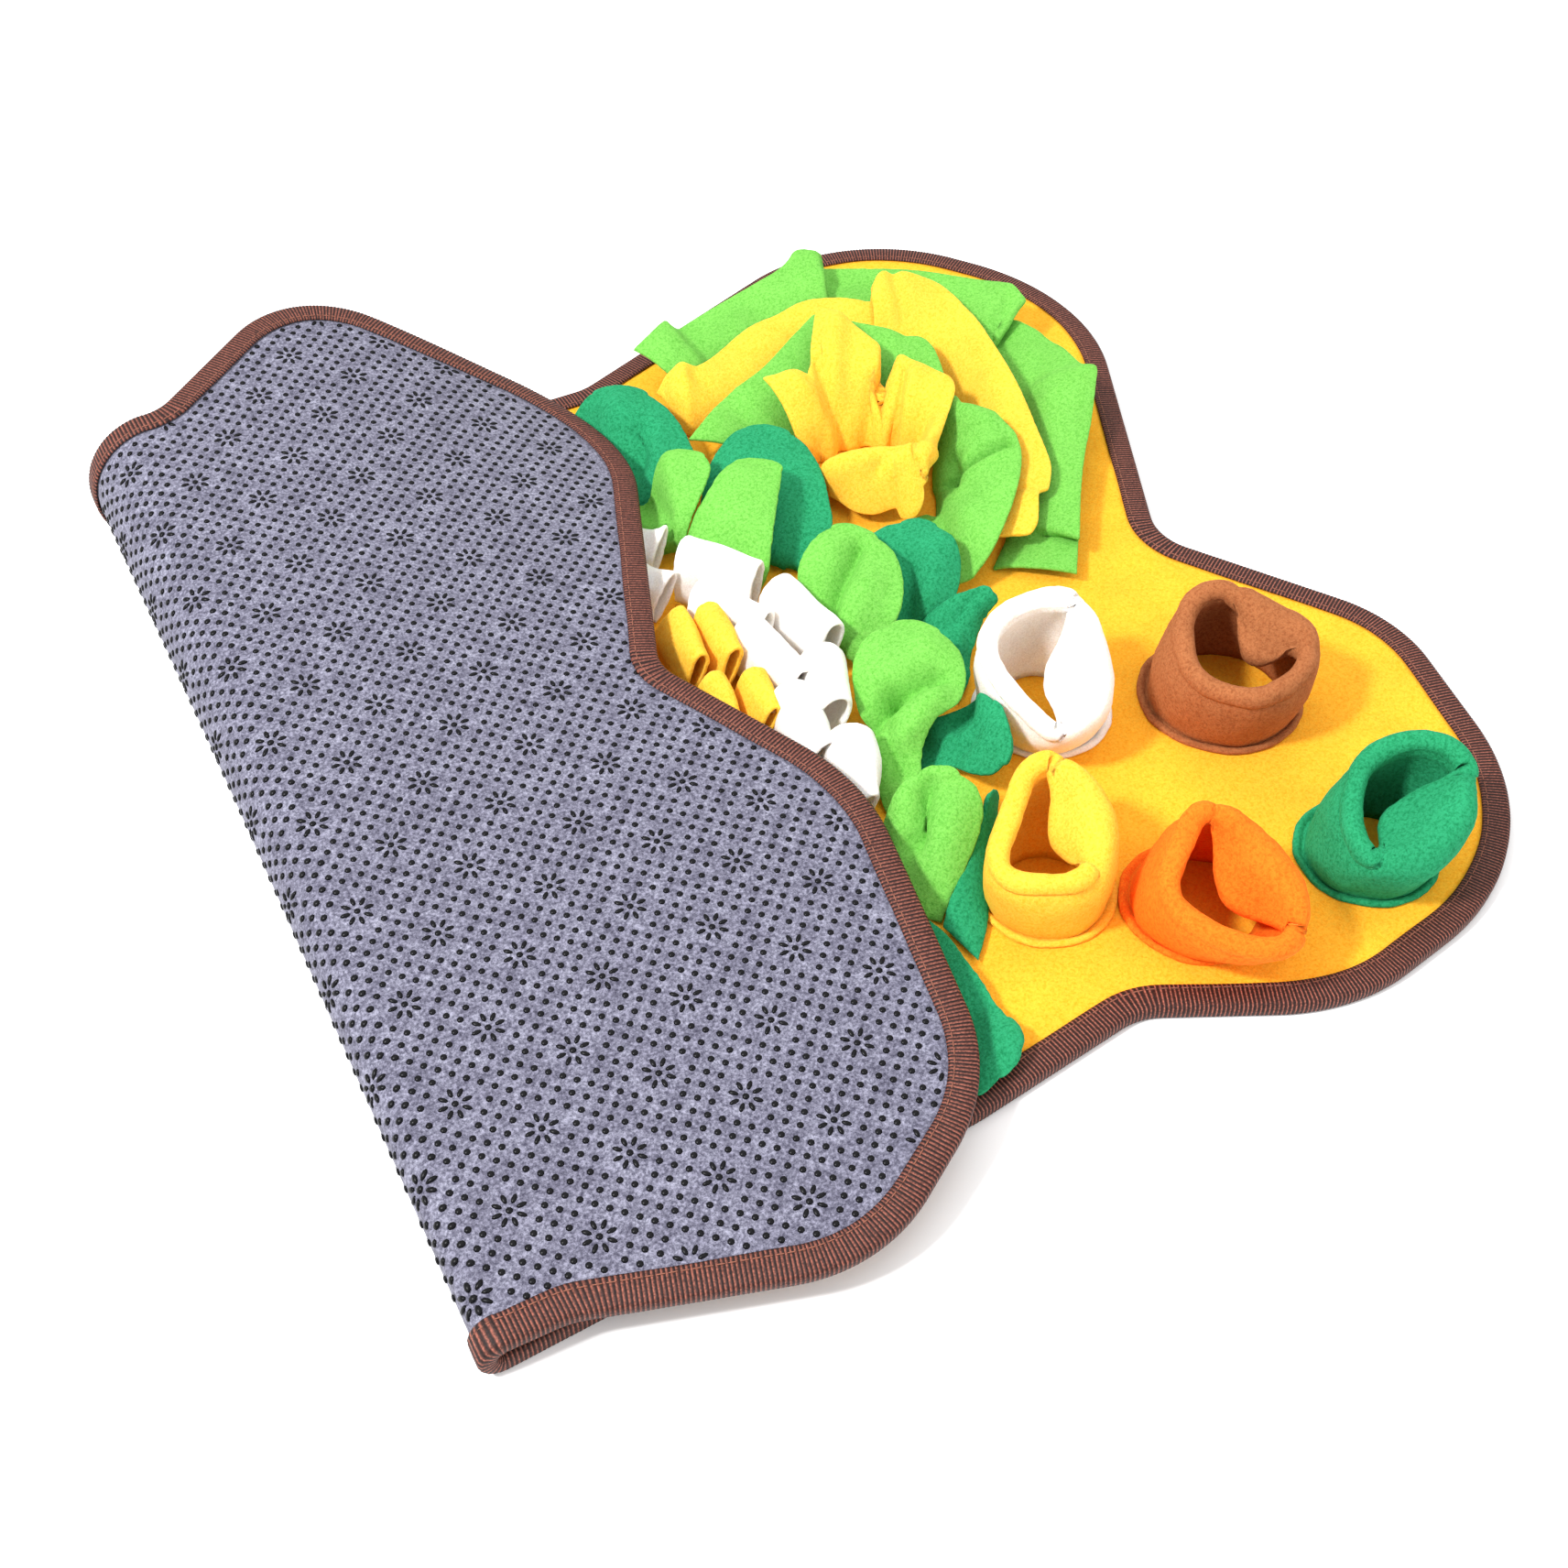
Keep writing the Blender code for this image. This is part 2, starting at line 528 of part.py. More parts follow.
# The rosette: strips sewn down along one edge and leaning outwards. Each row is a point of the strip's
# free edge, its height above the fleece, and the point of the seam that it rises from.
Tab = namedtuple("Tab", "x y height seam_x seam_y")
ROSETTE = (
    (
        "rosette_green_outer",
        LIGHT_GREEN,
        (
            Tab(134, 190, 19, 148, 157),
            Tab(156, 201, 22, 160, 164),
            Tab(162, 200, 15, 166, 166),
            Tab(194, 206, 19, 194, 168),
            Tab(220, 210, 23, 211, 168),
            Tab(231, 215, 27, 217, 167),
            Tab(241, 209, 26, 223, 165),
            Tab(234, 206, 16, 227, 162),
            Tab(244, 212, 15, 231, 160),
            Tab(259, 200, 17, 240, 156),
            Tab(281, 185, 18, 252, 147),
            Tab(300, 162, 20, 264, 134),
            Tab(310, 147, 23, 269, 124),
            Tab(310, 135, 21, 271, 118),
            Tab(303, 141, 12, 272, 112),
            Tab(308, 118, 14, 273, 106),
            Tab(308, 104, 16, 273, 98),
            Tab(304, 80, 20, 270, 82),
            Tab(305, 71, 23, 269, 76),
            Tab(288, 50, 18, 261, 59),
            Tab(271, 31, 15, 251, 44),
            Tab(257, 13, 14, 240, 34),
            Tab(240, -11, 12, 226, 19),
            Tab(245, -4, 6, 221, 13),
            Tab(231, -23, 6, 207, 1),
        ),
    ),
    (
        "rosette_yellow_outer",
        YELLOW,
        (
            Tab(133, 165, 11, 156, 138),
            Tab(140, 169, 18, 160, 139),
            Tab(147, 168, 22, 164, 139),
            Tab(153, 166, 18, 169, 140),
            Tab(164, 171, 16, 177, 141),
            Tab(186, 180, 19, 190, 146),
            Tab(204, 181, 22, 203, 147),
            Tab(220, 179, 24, 214, 147),
            Tab(238, 172, 23, 225, 146),
            Tab(256, 161, 17, 230, 144),
            Tab(248, 171, 25, 234, 142),
            Tab(257, 177, 28, 237, 140),
            Tab(267, 174, 28, 241, 136),
            Tab(277, 160, 26, 246, 129),
            Tab(279, 136, 25, 250, 117),
            Tab(275, 109, 24, 251, 101),
            Tab(268, 80, 23, 247, 81),
            Tab(258, 49, 22, 238, 61),
            Tab(250, 26, 20, 230, 48),
            Tab(242, 14, 21, 223, 40),
            Tab(229, 3, 19, 213, 32),
            Tab(218, 3, 16, 207, 28),
        ),
    ),
    (
        "rosette_green_inner",
        LIGHT_GREEN,
        (
            Tab(129, 126, 13, 158, 108),
            Tab(154, 140, 17, 172, 115),
            Tab(177, 146, 21, 184, 118),
            Tab(198, 157, 25, 195, 120),
            Tab(214, 165, 27, 204, 120),
            Tab(226, 155, 25, 211, 118),
            Tab(238, 144, 24, 218, 114),
            Tab(248, 129, 25, 224, 108),
            Tab(249, 118, 24, 227, 102),
            Tab(243, 96, 21, 229, 91),
            Tab(237, 76, 21, 226, 80),
            Tab(244, 61, 25, 222, 72),
            Tab(245, 46, 26, 218, 66),
            Tab(238, 31, 24, 213, 58),
            Tab(222, 13, 21, 207, 48),
            Tab(202, -3, 17, 200, 42),
            Tab(187, -11, 10, 193, 36),
        ),
    ),
    (
        "rosette_yellow_inner",
        YELLOW,
        (
            Tab(168, 130, 29, 170, 97),
            Tab(182, 126, 31, 176, 99),
            Tab(186, 122, 29, 180, 101),
            Tab(209, 155, 35, 186, 101),
            Tab(214, 154, 36, 190, 101),
            Tab(220, 141, 33, 197, 99),
            Tab(224, 125, 31, 203, 96),
            Tab(217, 113, 18, 207, 92),
            Tab(230, 117, 29, 210, 90),
            Tab(234, 102, 30, 213, 86),
            Tab(239, 91, 30, 215, 81),
            Tab(236, 81, 28, 215, 76),
            Tab(211, 51, 19, 208, 69),
            Tab(196, 40, 13, 201, 66),
            Tab(185, 41, 9, 194, 66),
            Tab(173, 49, 10, 187, 70),
            Tab(167, 62, 11, 181, 77),
            Tab(166, 72, 13, 178, 84),
        ),
    ),
)
STRIP_ROWS = 4
STRIP_BETWEEN = 1


def rosette_strip(name, colour, tabs):
    """A strip that stands on its seam and leans out to a free edge with square corners."""
    stations = []
    for a, b in zip(tabs, tabs[1:]):
        stations += [tuple(p + (q - p) * k / STRIP_BETWEEN for p, q in zip(a, b)) for k in range(STRIP_BETWEEN)]
    stations.append(tuple(tabs[-1]))
    grid = []
    for x, y, height, seam_x, seam_y in stations:
        row = []
        for k in range(STRIP_ROWS):
            share = k / (STRIP_ROWS - 1)
            out = share**1.5
            rise = math.sin(share * math.pi / 2)
            row.append(
                Vector(
                    (
                        seam_x + (x - seam_x) * out,
                        seam_y + (y - seam_y) * out,
                        SEWN_FACE + CLOTH / 2 + height * rise,
                    )
                )
            )
        grid.append(row)
    return cloth_solid(name, grid, colour)


def centre_on_origin():
    """Moves everything so that the folded mat's box is centred on the Z axis and rests on the floor."""
    meshes = [obj.data for obj in bpy.data.objects]
    low = [min(v.co[axis] for mesh in meshes for v in mesh.vertices) for axis in range(3)]
    high = [max(v.co[axis] for mesh in meshes for v in mesh.vertices) for axis in range(3)]
    shift = Matrix.Translation((-(low[0] + high[0]) / 2, -(low[1] + high[1]) / 2, -low[2]))
    for mesh in meshes:
        mesh.transform(shift)


def main():
    for obj in list(bpy.data.objects):
        bpy.data.objects.remove(obj)
    pad_sheet("backing_felt", HALF_GAP, FELT_FACE, FELT_GREY)
    pad_sheet("top_fleece", -FLEECE_FACE, -HALF_GAP, GOLD)
    edge_binding("edge_binding", WEBBING)
    for c in CUPS:
        cup(c)
    for ring in RINGS:
        for index in range(len(ring.angles)):
            loop(ring, index)
    for p in PETALS:
        petal(p)
    for name, colour, tabs in ROSETTE:
        rosette_strip(name, colour, tabs)
    centre_on_origin()


main()
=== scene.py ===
"""The looks of a bone-shaped snuffle mat that is folded once across its width.

Sizes are in millimetres and MM turns them into metres. The tables measure from the middle of the unfolded
pad, on the floor, with +X across the fold, +Y along it and +Z up. place() takes a point from there to the
frame. A row may instead give a place as the pixel that the camera sees it at, in a frame FRAME_PIXELS wide
and high, with its height above the floor. seen() and plan() work out where that is.
"""

import math
from collections import namedtuple

import bmesh
import bpy
import numpy as np
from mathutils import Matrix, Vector, noise


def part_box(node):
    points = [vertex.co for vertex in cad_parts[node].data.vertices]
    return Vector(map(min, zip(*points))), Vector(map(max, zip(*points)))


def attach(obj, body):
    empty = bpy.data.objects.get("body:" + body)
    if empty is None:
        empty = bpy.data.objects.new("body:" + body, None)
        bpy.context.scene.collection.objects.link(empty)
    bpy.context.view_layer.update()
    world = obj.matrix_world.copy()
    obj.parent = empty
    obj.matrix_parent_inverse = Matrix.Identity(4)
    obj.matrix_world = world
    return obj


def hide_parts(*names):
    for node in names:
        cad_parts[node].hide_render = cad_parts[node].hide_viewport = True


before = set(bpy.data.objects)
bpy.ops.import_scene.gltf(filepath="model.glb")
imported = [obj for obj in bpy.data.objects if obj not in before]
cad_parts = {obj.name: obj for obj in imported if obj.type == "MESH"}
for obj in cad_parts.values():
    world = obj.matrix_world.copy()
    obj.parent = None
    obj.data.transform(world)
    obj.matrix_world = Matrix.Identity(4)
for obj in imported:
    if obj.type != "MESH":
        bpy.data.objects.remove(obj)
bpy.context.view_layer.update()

MM = 0.001

# Blender draws its vector noise from the clock unless it is given a seed.
NOISE_SEED = 1795498601
noise.seed_set(NOISE_SEED)

# The pad's layers, from the floor up where it lies.
BINDING_THICK = 1.0
BINDING_WIDTH = 10.5
FELT_FACE = 1.75
FLEECE_FACE = 1.75
INNER_FACE = 0.15
BINDING_FACE = 3.25
PAD_MIDDLE = BINDING_FACE
SEWN_FACE = 5.0

# The pad's outline laid flat: corners joined by straight stretches and rounded to their radius.
Corner = namedtuple("Corner", "name x y radius")
CORNERS = (
    Corner("notch between the lying lobes", 279, -14, 24),
    Corner("rosette lobe, outer", 359, 152, 104),
    Corner("rosette lobe, inner", 283, 263, 82),
    Corner("waist beside the rosette lobe", 112, 199, 25),
    Corner("waist beside the far flap lobe", -168, 204, 20),
    Corner("far flap lobe, inner", -244, 262, 44),
    Corner("far flap lobe, outer", -353, 148, 85),
    Corner("notch between the flap lobes", -289, -11, 18),
    Corner("near flap lobe, outer", -328, -96, 85),
    Corner("near flap lobe, tip", -304, -222, 62),
    Corner("near flap lobe, inner", -240, -260, 60),
    Corner("waist beside the near flap lobe", -150, -230, 35),
    Corner("waist under the flap", 56, -223, 80),
    Corner("waist beside the cup lobe", 126, -214, 25),
    Corner("cup lobe, inner", 192, -248, 80),
    Corner("cup lobe, tip", 305, -228, 100),
    Corner("cup lobe, outer", 334, -103, 60),
)
ARC_STEP = 2.5
COARSE_STEP = 9.0
PAD_GRID = 5.0
PAD_INSET = BINDING_THICK + 0.6
GRID_REACH_X, GRID_REACH_Y = 350, 265
CUT_TOLERANCE = 0.01

# The fold: its line on the flat pad, and in each section across the flap the felt's height at the fold,
# halfway along the flap and at its end.
FOLD_X = -121.0
FOLD_HALF = 45.0
FOLD_EASE = 15.0
PAST_EDGE = 20.0
MIDDLE_REACH = 110.0
EDGE_REACH = 200.0
Section = namedtuple("Section", "y crown middle edge")
SECTIONS = (
    Section(-215, 17.0, 20.0, 21.0),
    Section(-107, 29.0, 31.0, 30.0),
    Section(13, 41.5, 38.5, 30.0),
    Section(133, 51.0, 46.0, 27.0),
    Section(235, 58.0, 57.0, 28.0),
)

# The camera: where it stands, how far it looks down and how far its view turns from +Y towards +X.
CAMERA_PLACE = (-179.1, -516.4, 551.0)
CAMERA_DOWN = 46.5
CAMERA_TURN = 28.96
CAMERA_LENS = 46.26
SENSOR = 36.0
FRAME_PIXELS = 1712

# Added to a length before dividing by it.
TINY = 1e-9


def between(low, high, value):
    """0 below low, 1 above high and a smooth step between."""
    t = min(max((value - low) / (high - low), 0.0), 1.0)
    return t * t * (3 - 2 * t)


def curve(a, from_slope, b, to_slope, t):
    """The place at t, from 0 to 1, on the smooth curve from a to b that has these slopes at its ends."""
    return (
        a * (2 * t**3 - 3 * t**2 + 1)
        + from_slope * (t**3 - 2 * t**2 + t)
        + b * (3 * t**2 - 2 * t**3)
        + to_slope * (t**3 - t**2)
    )


def smooth_rows(rows, y, column):
    """The column's value at y, on a smooth curve through the rows."""
    last = len(rows) - 1
    i = 0
    while i < last - 1 and y > rows[i + 1].y:
        i += 1
    a, b = rows[i], rows[i + 1]
    before, after = rows[max(i - 1, 0)], rows[min(i + 2, last)]
    span = b.y - a.y
    t = (y - a.y) / span
    start = (getattr(b, column) - getattr(before, column)) / (b.y - before.y) * span
    end = (getattr(after, column) - getattr(a, column)) / (after.y - a.y) * span
    if t < 0 or t > 1:
        edge, slope, past = (a, start, t) if t < 0 else (b, end, t - 1)
        return getattr(edge, column) + slope * past
    return curve(getattr(a, column), start, getattr(b, column), end, t)


def rounded_outline(corners, step):
    """The closed outline through the corners, anticlockwise, each rounded to its radius."""
    points = []
    for i, corner in enumerate(corners):
        here = Vector((corner.x, corner.y))
        before, after = corners[i - 1], corners[(i + 1) % len(corners)]
        back = (Vector((before.x, before.y)) - here).normalized()
        on = (Vector((after.x, after.y)) - here).normalized()
        turn = math.pi - back.angle(on)
        reach = corner.radius * math.tan(turn / 2)
        centre = here + (back + on).normalized() * corner.radius / math.cos(turn / 2)
        first, last = here + back * reach - centre, here + on * reach - centre
        start = math.atan2(first.y, first.x)
        sweep = (math.atan2(last.y, last.x) - start + math.pi) % (2 * math.pi) - math.pi
        count = max(2, round(abs(sweep) * corner.radius / step))
        for k in range(count + 1):
            angle = start + sweep * k / count
            points.append(centre + corner.radius * Vector((math.cos(angle), math.sin(angle))))
    return points


def evenly(points, step):
    """The closed outline with points at even spacing, about a step apart."""
    ring = points + points[:1]
    lengths = [0.0]
    for a, b in zip(ring, ring[1:]):
        lengths.append(lengths[-1] + (b - a).length)
    count = round(lengths[-1] / step)
    spaced, i = [], 0
    for k in range(count):
        at = lengths[-1] * k / count
        while lengths[i + 1] <= at:
            i += 1
        spaced.append(ring[i].lerp(ring[i + 1], (at - lengths[i]) / (lengths[i + 1] - lengths[i])))
    return spaced


def inset(points, distance):
    """The outline moved inwards by a distance, or by one for each point; at the fold, straight along it."""
    moved = []
    for i, point in enumerate(points):
        before = (point - points[i - 1]).normalized()
        along = (before + (points[(i + 1) % len(points)] - point).normalized()).normalized()
        inward = Vector((-along.y, along.x))
        if abs(point.x - FOLD_X) < FOLD_HALF:
            share = between(FOLD_HALF - FOLD_EASE, FOLD_HALF, abs(point.x - FOLD_X))
            inward = Vector((0, 1 / inward.y)).lerp(inward, share)
        moved.append(point + inward * (distance[i] if isinstance(distance, list) else distance))
    return moved


def fold_radius(y):
    """The radius of the fold's curve at the pad's middle surface."""
    return (smooth_rows(SECTIONS, y, "crown") - FELT_FACE - PAD_MIDDLE) / 2


def flap_height(reach, y):
    """The height of the flap's middle surface, at a reach from the fold line."""
    radius = fold_radius(y)
    flat_start = math.pi * radius / 2
    crown = PAD_MIDDLE + 2 * radius
    past = max(reach - flat_start, 0.0)
    middle, edge = MIDDLE_REACH - flat_start, EDGE_REACH - flat_start
    rise_middle = smooth_rows(SECTIONS, y, "middle") - FELT_FACE - crown
    rise_edge = smooth_rows(SECTIONS, y, "edge") - FELT_FACE - crown
    cubic = (rise_edge / edge**2 - rise_middle / middle**2) / (edge - middle)
    square = rise_middle / middle**2 - cubic * middle
    past = min(past, edge + PAST_EDGE)
    return crown + square * past**2 + cubic * past**3


def folded(x, y, offset):
    """Where a point of the flat pad lies once folded, and its direction out of the felt.

    Offset is its distance from the middle surface to the felt's side.
    """
    w = x - FOLD_X
    radius = fold_radius(y)
    quarter = math.pi * radius / 2
    if w >= quarter:
        return Vector((x, y, PAD_MIDDLE - offset)), Vector((0, 0, -1))
    if w > -quarter:
        angle = w / radius
        outer = radius + offset
        out = Vector((-math.cos(angle), 0, -math.sin(angle)))
        return Vector((FOLD_X + quarter, y, PAD_MIDDLE + radius)) + out * outer, out
    here = flap_height(-w, y)
    across = flap_height(-w + 1, y) - here
    along = flap_height(-w, y + 1) - here
    normal = Vector((-across, -along, 1)).normalized()
    return Vector((FOLD_X - w, y, here)) + normal * offset, normal


OUTLINE = rounded_outline(CORNERS, ARC_STEP)
OUTLINE_SIDES = list(zip(OUTLINE, OUTLINE[1:] + OUTLINE[:1]))
BINDING_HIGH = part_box("edge_binding")[1]
TO_FRAME = Vector(
    (
        BINDING_HIGH.x - max(p.x for p in OUTLINE) * MM,
        BINDING_HIGH.y - max(p.y for p in OUTLINE) * MM,
        0,
    )
)


def place(point):
    """A point of the tables, in millimetres, in the frame."""
    return Vector(point) * MM + TO_FRAME


def seen(px, py, z):
    """The place at height z that the camera sees at a pixel, in the tables' millimetres."""
    down, turn = math.radians(CAMERA_DOWN), math.radians(CAMERA_TURN)
    ahead = np.array((math.sin(turn) * math.cos(down), math.cos(turn) * math.cos(down), -math.sin(down)))
    right = np.array((math.cos(turn), -math.sin(turn), 0))
    over, under = px - FRAME_PIXELS / 2, py - FRAME_PIXELS / 2
    ray = ahead + (right * over - np.cross(right, ahead) * under) * SENSOR / CAMERA_LENS / FRAME_PIXELS
    return tuple(np.array(CAMERA_PLACE) + ray * (z - CAMERA_PLACE[2]) / ray[2])


def plan(px, py, z):
    """The x and y of the place at height z that the camera sees at a pixel."""
    return seen(px, py, z)[:2]


def lines(start, end, step):
    """Evenly spaced values from start to end, no further apart than step."""
    count = math.ceil((end - start) / step)
    return [start + (end - start) * k / count for k in range(count + 1)]


# Making meshes.
def piece(name, vertices, faces, material, nodes=(), attributes=()):
    """A piece of the mat on body root: it faces out, is shaded smooth and stands for the nodes named."""
    mesh = bpy.data.meshes.new(name)
    mesh.from_pydata([place(v) for v in vertices], [], faces)
    for key, values in attributes:
        layer = mesh.attributes.new(key, "FLOAT", "POINT")
        layer.data.foreach_set("value", values)
    working = bmesh.new()
    working.from_mesh(mesh)
    bmesh.ops.recalc_face_normals(working, faces=working.faces[:])
    working.to_mesh(mesh)
    working.free()
    mesh.shade_smooth()
    mesh.materials.append(material)
    obj = bpy.data.objects.new(name, mesh)
    bpy.context.scene.collection.objects.link(obj)
    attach(obj, "root")
    if nodes:
        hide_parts(*nodes)
    return obj


def hermite(points, shares, closed=False):
    """Points at shares of a smooth curve through the given points; shares run from 0 to 1."""
    points = np.array(points, float)
    count = len(points)
    spans = count if closed else count - 1
    result = []
    for share in shares:
        at = min(max(share, 0.0), 1.0) * spans
        i = min(int(at), spans - 1)
        t = at - i
        if closed:
            p0, p1, p2, p3 = (points[(i + k) % count] for k in (-1, 0, 1, 2))
        else:
            p0, p1 = points[max(i - 1, 0)], points[i]
            p2, p3 = points[i + 1], points[min(i + 2, count - 1)]
        result.append(curve(p1, (p2 - p0) / 2, p2, (p3 - p1) / 2, t))
    return np.array(result)


def run_along(points):
    """How far each point is along the line through them."""
    return np.concatenate([[0], np.cumsum(np.linalg.norm(np.diff(points, axis=0), axis=1))])


def tube_faces(rings, around):
    """Faces of a closed tube from rings of vertices, the last ring joined to the first."""
    faces = []
    for i in range(rings):
        here, there = i * around, (i + 1) % rings * around
        for k in range(around):
            on = (k + 1) % around
            faces.append((here + k, here + on, there + on, there + k))
    return faces


def soft_shares(length, thick, step):
    """Shares from 0 to 1 along a length, close together near both ends, where the cut edge rounds over."""
    near = [share * thick for share in EDGE_ROWS]
    count = max(2, math.ceil((length - 2 * near[-1]) / step))
    inner = [near[-1] + (length - 2 * near[-1]) * k / count for k in range(1, count)]
    return [d / length for d in near + inner + [length - d for d in reversed(near)]]


EDGE_ROWS = (0.0, 0.12, 0.4)
CUT_EDGE = (0.25, 0.75)
FUZZ = 0.16
FUZZ_SIZE = 2.2


def normals(grid):
    """The direction out of each point of a grid."""
    normal = np.cross(np.gradient(grid, axis=0), np.gradient(grid, axis=1))
    return normal / (np.linalg.norm(normal, axis=2, keepdims=True) + TINY)


def cloth_mesh(grid, thick):
    """Vertices and faces of a sheet of cloth around a grid of points on its middle surface."""
    grid = np.array(grid, float)
    rows, columns = grid.shape[:2]
    normal = normals(grid)
    half = np.full((rows, columns), thick / 2)
    for k, share in enumerate(CUT_EDGE):
        for edge in (half[:, k], half[:, -1 - k], half[k, :], half[-1 - k, :]):
            np.minimum(edge, thick / 2 * share, out=edge)
    front = grid + normal * half[..., None]
    back = grid - normal * half[..., None]
    vertices = np.concatenate([front.reshape(-1, 3), back.reshape(-1, 3)])
    count = rows * columns
    faces = []
    for i in range(rows - 1):
        here, on = i * columns, (i + 1) * columns
        for k in range(columns - 1):
            faces.append((here + k, on + k, on + k + 1, here + k + 1))
            faces.append((count + here + k, count + here + k + 1, count + on + k + 1, count + on + k))
        for k in (0, columns - 1):
            faces.append((here + k, on + k, count + on + k, count + here + k))
    for row in (0, (rows - 1) * columns):
        for k in range(columns - 1):
            faces.append((row + k, row + k + 1, count + row + k + 1, count + row + k))
    return vertices, faces


def fuzzed(vertices, amount=FUZZ, size=FUZZ_SIZE):
    """The vertices, each moved a little by smooth noise, as a soft pile moves a surface."""
    moved = []
    for v in vertices:
        at = Vector(v) / size
        moved.append(Vector(v) + noise.noise_vector(at) * amount)
    return moved


# Materials. The mix node has several sockets of each name; these are the ones for colours.
MIX_SHARE, MIX_A, MIX_B, MIX_COLOUR = 0, 6, 7, 2
# How far light travels through a fleece, in millimetres: far in one with at least this glow, and else near.
FAR_GLOW = 0.2
GLOW_NEAR, GLOW_FAR = 1.5, 5.0


def shader(name, roughness, sheen=0.0, specular=0.5, tint=(1, 1, 1)):
    """A material, its node tree and its Principled BSDF."""
    material = bpy.data.materials.new(name)
    material.use_nodes = True
    principled = material.node_tree.nodes["Principled BSDF"]
    principled.inputs["Roughness"].default_value = roughness
    principled.inputs["Sheen Weight"].default_value = sheen
    principled.inputs["Sheen Roughness"].default_value = 0.5
    principled.inputs["Sheen Tint"].default_value = (*tint, 1)
    principled.inputs["Specular IOR Level"].default_value = specular
    return material, material.node_tree, principled


def noise_node(tree, scale, detail=2.0, roughness=0.5):
    """Noise in the frame's own metres."""
    place_node = tree.nodes.new("ShaderNodeTexCoord")
    node = tree.nodes.new("ShaderNodeTexNoise")
    node.inputs["Scale"].default_value = scale
    node.inputs["Detail"].default_value = detail
    node.inputs["Roughness"].default_value = roughness
    tree.links.new(place_node.outputs["Object"], node.inputs["Vector"])
    return node.outputs["Fac"]


def ramp(tree, value, stops):
    """Colours at positions of a value."""
    node = tree.nodes.new("ShaderNodeValToRGB")
    elements = node.color_ramp.elements
    while len(elements) < len(stops):
        elements.new(0.5)
    for element, (position, colour) in zip(elements, stops):
        element.position = position
        element.color = (*colour, 1)
    tree.links.new(value, node.inputs["Fac"])
    return node.outputs["Color"]


def multiplied(tree, a, b):
    """Two colours multiplied."""
    node = tree.nodes.new("ShaderNodeMix")
    node.data_type = "RGBA"
    node.blend_type = "MULTIPLY"
    node.inputs[MIX_SHARE].default_value = 1.0
    tree.links.new(a, node.inputs[MIX_A])
    tree.links.new(b, node.inputs[MIX_B])
    return node.outputs[MIX_COLOUR]


def bump(tree, principled, height, strength, distance, before=None):
    """A bump of a distance in millimetres, on top of the one before."""
    node = tree.nodes.new("ShaderNodeBump")
    node.inputs["Strength"].default_value = strength
    node.inputs["Distance"].default_value = distance * MM
    tree.links.new(height, node.inputs["Height"])
    if before:
        tree.links.new(before, node.inputs["Normal"])
    tree.links.new(node.outputs["Normal"], principled.inputs["Normal"])
    return node.outputs["Normal"]


def fleece(name, light, deep, pile=1.0, sheen=0.25, glow=0.12):
    """Brushed polyester fleece: fine curly grain over soft clumps, with shade painted into the colour where
    their bumps dip: a deeper tone between the clumps and darker grain hollows.
    """
    material, tree, principled = shader(name, 0.95, sheen, 0.1, light)
    grain = noise_node(tree, 1500, 3, 0.6)
    clumps = noise_node(tree, 750, 2, 0.6)
    broad = noise_node(tree, 45, 1)
    # Painted shade: the colour goes to the deeper tone where the clumps' bump dips, darkens where the grain's
    # bump dips and is slightly lightened on the grain's tips.
    colour = ramp(tree, clumps, ((0.30, deep), (0.58, light)))
    fine = ramp(tree, grain, ((0.25, (0.82, 0.82, 0.82)), (0.7, (1.06, 1.06, 1.06))))
    colour = multiplied(tree, colour, fine)
    tint = ramp(tree, broad, ((0.35, (0.95, 0.95, 0.95)), (0.65, (1.04, 1.04, 1.04))))
    colour = multiplied(tree, colour, tint)
    tree.links.new(colour, principled.inputs["Base Color"])
    first = bump(tree, principled, clumps, 0.5, 0.4 * pile)
    bump(tree, principled, grain, 0.5, 0.3 * pile, first)
    principled.inputs["Subsurface Weight"].default_value = glow
    principled.inputs["Subsurface Radius"].default_value = (1.0, 0.8, 0.6)
    principled.inputs["Subsurface Scale"].default_value = (GLOW_NEAR if glow < FAR_GLOW else GLOW_FAR) * MM
    return material


# Each fleece's own colour, then the deeper tone painted as shade in the hollows of its pile.
GOLD_LIGHT, GOLD_PILE_SHADE = (0.96, 0.461, 0.033), (0.96, 0.383, 0.0157)
YELLOW_LIGHT, YELLOW_PILE_SHADE = (0.95, 0.522, 0.0539), (0.95, 0.435, 0.0261)
GREEN_LIGHT, GREEN_PILE_SHADE = (0.174, 0.496, 0.08), (0.113, 0.391, 0.0478)
DARK_LIGHT, DARK_PILE_SHADE = (0.0226, 0.287, 0.122), (0.0087, 0.191, 0.0696)
WHITE_LIGHT, WHITE_PILE_SHADE = (0.95, 0.91, 0.86), (0.94, 0.87, 0.79)
ORANGE_LIGHT, ORANGE_PILE_SHADE = (0.97, 0.191, 0.0139), (0.97, 0.13, 0.00696)
BROWN_LIGHT, BROWN_PILE_SHADE = (0.365, 0.13, 0.0478), (0.27, 0.0843, 0.0287)

GOLD = fleece("gold fleece", GOLD_LIGHT, GOLD_PILE_SHADE)
YELLOW = fleece("yellow fleece", YELLOW_LIGHT, YELLOW_PILE_SHADE, glow=0.35)
LIGHT_GREEN = fleece("light green fleece", GREEN_LIGHT, GREEN_PILE_SHADE, 1.2)
DARK_GREEN = fleece("dark green fleece", DARK_LIGHT, DARK_PILE_SHADE, 1.2)
WHITE = fleece("white fleece", WHITE_LIGHT, WHITE_PILE_SHADE, 0.8, 0.25, 0.5)
ORANGE = fleece("orange fleece", ORANGE_LIGHT, ORANGE_PILE_SHADE, glow=0.35)
BROWN = fleece("brown fleece", BROWN_LIGHT, BROWN_PILE_SHADE, 1.2)


